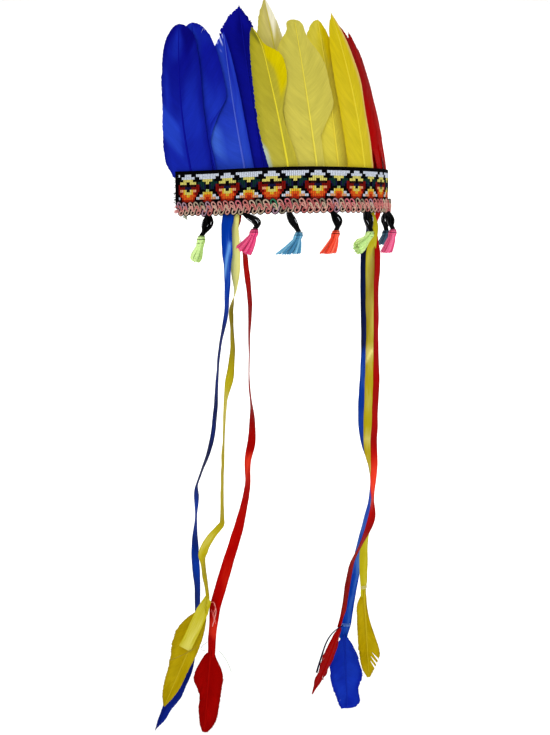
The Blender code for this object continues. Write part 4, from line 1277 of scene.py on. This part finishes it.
# two of the ribbons show the thread that ties them
for name, colour in (("right_yellow", "#ddd59a"), ("right_blue", "#6f9ae0")):
    foot, width_way, way = ribbon_foot(name)
    half = RIBBON_WIDTH * (0.5 - 0.5 * NARROWING[name]) + 0.0004
    for step in (-0.0006, 0.0004, 0.0012):
        stamp(mesh, thread_ring, lambda x, y, z: (
            foot + way * (step + 0.0015 * z + 0.0006 * x) + width_way * (half * x)
            + way.cross(width_way) * (0.0016 * y)), yarn, linear(colour))
keep("loose_sewing_threads", mesh, [tassel_yarn])

QUILL = ((0, 1.0, -2, 6.0), (.2, -6.2, -3, 10.4), (.45, -12.4, -3.5, 19.0), (.75, -17.0, -3.5, 33.0),
         (1, -20.6, -3, 46.0))
mesh, yarn = yarn_mesh()
stamp(mesh, cord_shape, along_path(thread_way("right_red", QUILL), lambda z: 0.0004 + 0.0004 * z), yarn,
      linear("#06082e"))
keep("bare_dyed_quill", mesh, [braid_yarn])

# %% [markdown]
# ## Tassels
#
# Below each motif hangs a bundle of glossy black cord, and from it a small
# tassel: yarn laid over the cord, wound with black thread under its head and
# cut off straight.  Every strand is its own thin tube, because the silhouette
# of a tassel is made by its strands.

# %% Cords and tassels
TASSEL_SPACING = BAND_LENGTH / MOTIFS
CORD_LENGTH = 0.0165
TASSEL_LENGTH = 0.0205
TASSEL_RADIUS = 0.003
SWING = 0.010
CORD_STRANDS = 9
CORD_RADIUS = 0.00105
CORD_SWELL = 0.0034
# radius of the pale strands that stand for painted glints on the cord
PAINTED_GLINT_RADIUS = 0.00022
TASSEL_STRANDS = 84
STRAND_RADIUS = 0.00052
TASSEL_DYES = {
    "lime": ("#cdf296", "#badd7c", "#e0faa8"),
    "pink": ("#ee4c84", "#cf2c68", "#f4709c"),
    "blue": ("#62a8cc", "#3f88b4", "#80bedc"),
    "orange": ("#fb5436", "#ea3c1e", "#ff7a58"),
    "teal": ("#3c6a86", "#1c3450", "#6f98b0"),
}
# some are cut square to the way they lean, the others level
SQUARE_CUT = {"1": 1.0, "2": 0.8, "5": 1.0}
# name: (colour slot, dye, shares of the lengths of cord and tassel, bulge of the cord to
# the side, head and tip to the side, head and tip outward, splay of the cut end)
TASSELS = {
    "1": ("lime", "lime", 0.88, 0.94, 0.00, -0.66, -1.32, 0.00, 0.00, 0.95),
    "2": ("pink", "pink", 0.60, 0.83, 0.70, 0.83, -0.14, 0.10, 0.05, 1.50),
    "3": ("blue", "blue", 0.80, 0.80, 0.18, 0.76, -0.07, 0.10, 0.05, 2.15),
    "4": ("orange", "orange", 0.76, 0.85, 0.42, 0.26, -0.38, 0.20, 0.00, 1.50),
    "5": ("lime", "lime", 0.83, 0.64, 0.08, 0.27, -1.38, 0.20, 0.05, 1.40),
    "6": ("pink", "pink", 0.76, 0.91, 0.35, 0.52, -0.10, 0.39, -0.05, 1.60),
    "7": ("blue", "teal", 0.85, 0.57, 0.30, 0.00, -0.40, 0.00, -0.45, 1.00),
}
# the cords are pulled along the braid, mm
TASSEL_SLIPS = {"1": 1.7, "2": -2.9, "3": -5.0, "4": -6.7, "5": -7.0, "6": -4.0}
# along the drop: share, radius of the bundle
TASSEL_PROFILE = ((0.00, 0.70), (0.05, 0.90), (0.18, 0.98), (0.28, 0.74), (0.45, 1.00), (0.75, 1.24),
                  (1.00, 1.36))
# the lime ones are tied again and end in a round tuft
ROUND_PROFILE = ((0.00, 0.70), (0.05, 0.90), (0.18, 0.98), (0.28, 0.84), (0.48, 0.86), (0.66, 1.20),
                 (0.82, 1.42), (0.95, 1.16), (1.00, 0.80))


for index, (name, row) in enumerate(TASSELS.items()):
    slot, dye, cord_share, tassel_share, bulge, head_side, tip_side, head_out, tip_out, splay = row
    seat_along = (index + 0.75) * TASSEL_SPACING - HALF_BAND + TASSEL_SLIPS.get(name, 0.0) / 1000
    place, outward, onward = band_place(seat_along)
    seat = place + outward * 0.0014 + DOWN * CLEARANCE
    bend = onward * (bulge * SWING)
    head = (onward * head_side + outward * head_out) * SWING
    tip = (onward * tip_side + outward * tip_out) * SWING
    cord = cord_share * CORD_LENGTH
    drop = tassel_share * TASSEL_LENGTH
    top = seat + head + DOWN * (cord + CLEARANCE)

    # cord bundle: strands that swell apart in the middle and cross over
    mesh, yarn = yarn_mesh()
    for strand in range(CORD_STRANDS):
        turn, twist = rng.uniform(0, 2 * math.pi), rng.uniform(-1.8, 1.8)
        spread, lift = rng.uniform(0.3, 1.0), rng.uniform(-0.001, 0.0015)

        def cord_path(z):
            middle = seat + bend * (4 * z * (1 - z)) + head * z * z + DOWN * (z * cord)
            swell = 0.0010 + CORD_SWELL * spread * math.sin(math.pi * min(z * 1.25, 1.0)) * (1 - 0.4 * z)
            around = turn + twist * z
            return (middle + onward * (swell * math.cos(around)) + outward * (swell * math.sin(around))
                    + Vector((0, 0, lift * math.sin(math.pi * z) * (1 - z) + 0.0012 * (1 - z) ** 4)))

        stamp(mesh, cord_shape, along_path(cord_path, lambda z: CORD_RADIUS, outward), yarn,
              linear("#010102"))
        if strand % 3:
            continue
        # pale strands on the cord's outer side are painted glints, where the glossy cord catches the light
        stamp(mesh, strand_shape, along_path(
            lambda z: cord_path(0.25 + 0.22 * z + 0.02 * strand) + outward * CORD_RADIUS,
            lambda z: PAINTED_GLINT_RADIUS, onward), yarn, linear("#c9ccd2"))
    keep("cord_loops_" + name, mesh, [black_cord], ["tassel_cord_" + name])

    # tassel: strands from the head over the neck to the cut end
    profile = ROUND_PROFILE if dye == "lime" else TASSEL_PROFILE
    mesh, yarn = yarn_mesh()
    for strand in range(TASSEL_STRANDS):
        around = strand / TASSEL_STRANDS * 2 * math.pi * 5 + rng.uniform(-0.2, 0.2)
        inner = 1.0 if strand % 2 else rng.uniform(0.25, 0.8)
        cut = rng.uniform(0.90, 1.0)
        stray = rng.uniform(-0.0007, 0.0007)
        colour = linear(rng.choice(TASSEL_DYES[dye]))

        def strand_path(z):
            z *= cut
            middle = top + (tip - head) * z ** 1.5 + DOWN * (z * drop)
            fan = 1 + (splay - 1) * max(z - 0.3, 0) / 0.7
            radius = TASSEL_RADIUS * between(profile, z) * (inner if z > 0.2 else max(inner, 0.6))
            way = ((tip - head) * (1.5 * z ** 0.5) + DOWN * drop).normalized()
            side = (onward - way * (onward.dot(way) * SQUARE_CUT.get(name, 0.0))).normalized()
            return (middle + side * (radius * fan * math.cos(around) + stray * z)
                    + outward * (radius * math.sin(around) + stray * z * 0.5))

        stamp(mesh, strand_shape, along_path(strand_path, lambda z: STRAND_RADIUS, outward), yarn, colour)
    for at in (0.02, 0.12, 0.27):

        def ring_place(x, y, z):
            middle = top + (tip - head) * at ** 1.5 + DOWN * (at * drop)
            radius = TASSEL_RADIUS * between(profile, at) + 0.0003
            return middle + (onward * x + outward * y) * radius + DOWN * (z * 0.002)

        stamp(mesh, thread_ring, ring_place, yarn, linear("#020204"), slot=1)
    keep("yarn_tassel_" + name, mesh, [tassel_yarn, black_cord], ["tassel_" + name])

# %% [markdown]
# ## Elastic
#
# Behind the head a plain black elastic closes the loop.  Its knitted ribs run
# along it, about one a millimetre, and a fine wave draws them as bump.

# %% Elastic material
rubber, tree, shader = surface("knitted_black_elastic", Base_Color=linear("#101012"), Roughness=0.75,
                               Sheen_Weight=0.3)
where = node(tree, "ShaderNodeTexCoord").outputs["Object"]
ribs = node(tree, "ShaderNodeTexWave", {"Vector": where, "Scale": 1000 / 6.3 / 1.1, "Distortion": 0.6},
            bands_direction="Z")
knit = node(tree, "ShaderNodeTexNoise", {"Vector": where, "Scale": 1600.0, "Detail": 2.0})
relief = node(tree, "ShaderNodeMath", {0: ribs.outputs["Fac"], 1: knit.outputs["Fac"]}, operation="ADD")
tone = node(tree, "ShaderNodeMix", {0: ribs.outputs["Fac"], 6: linear("#09090b"), 7: linear("#1c1c20")},
            data_type="RGBA")
dress(tree, shader, tone.outputs[2], relief.outputs["Value"], 0.6, 0.0003)
elastic = bpy.data.objects["back_elastic"]
elastic.data.materials[0] = rubber
print("elastic has", len(elastic.data.polygons), "faces")

# %% Finish
print("all pieces are made")
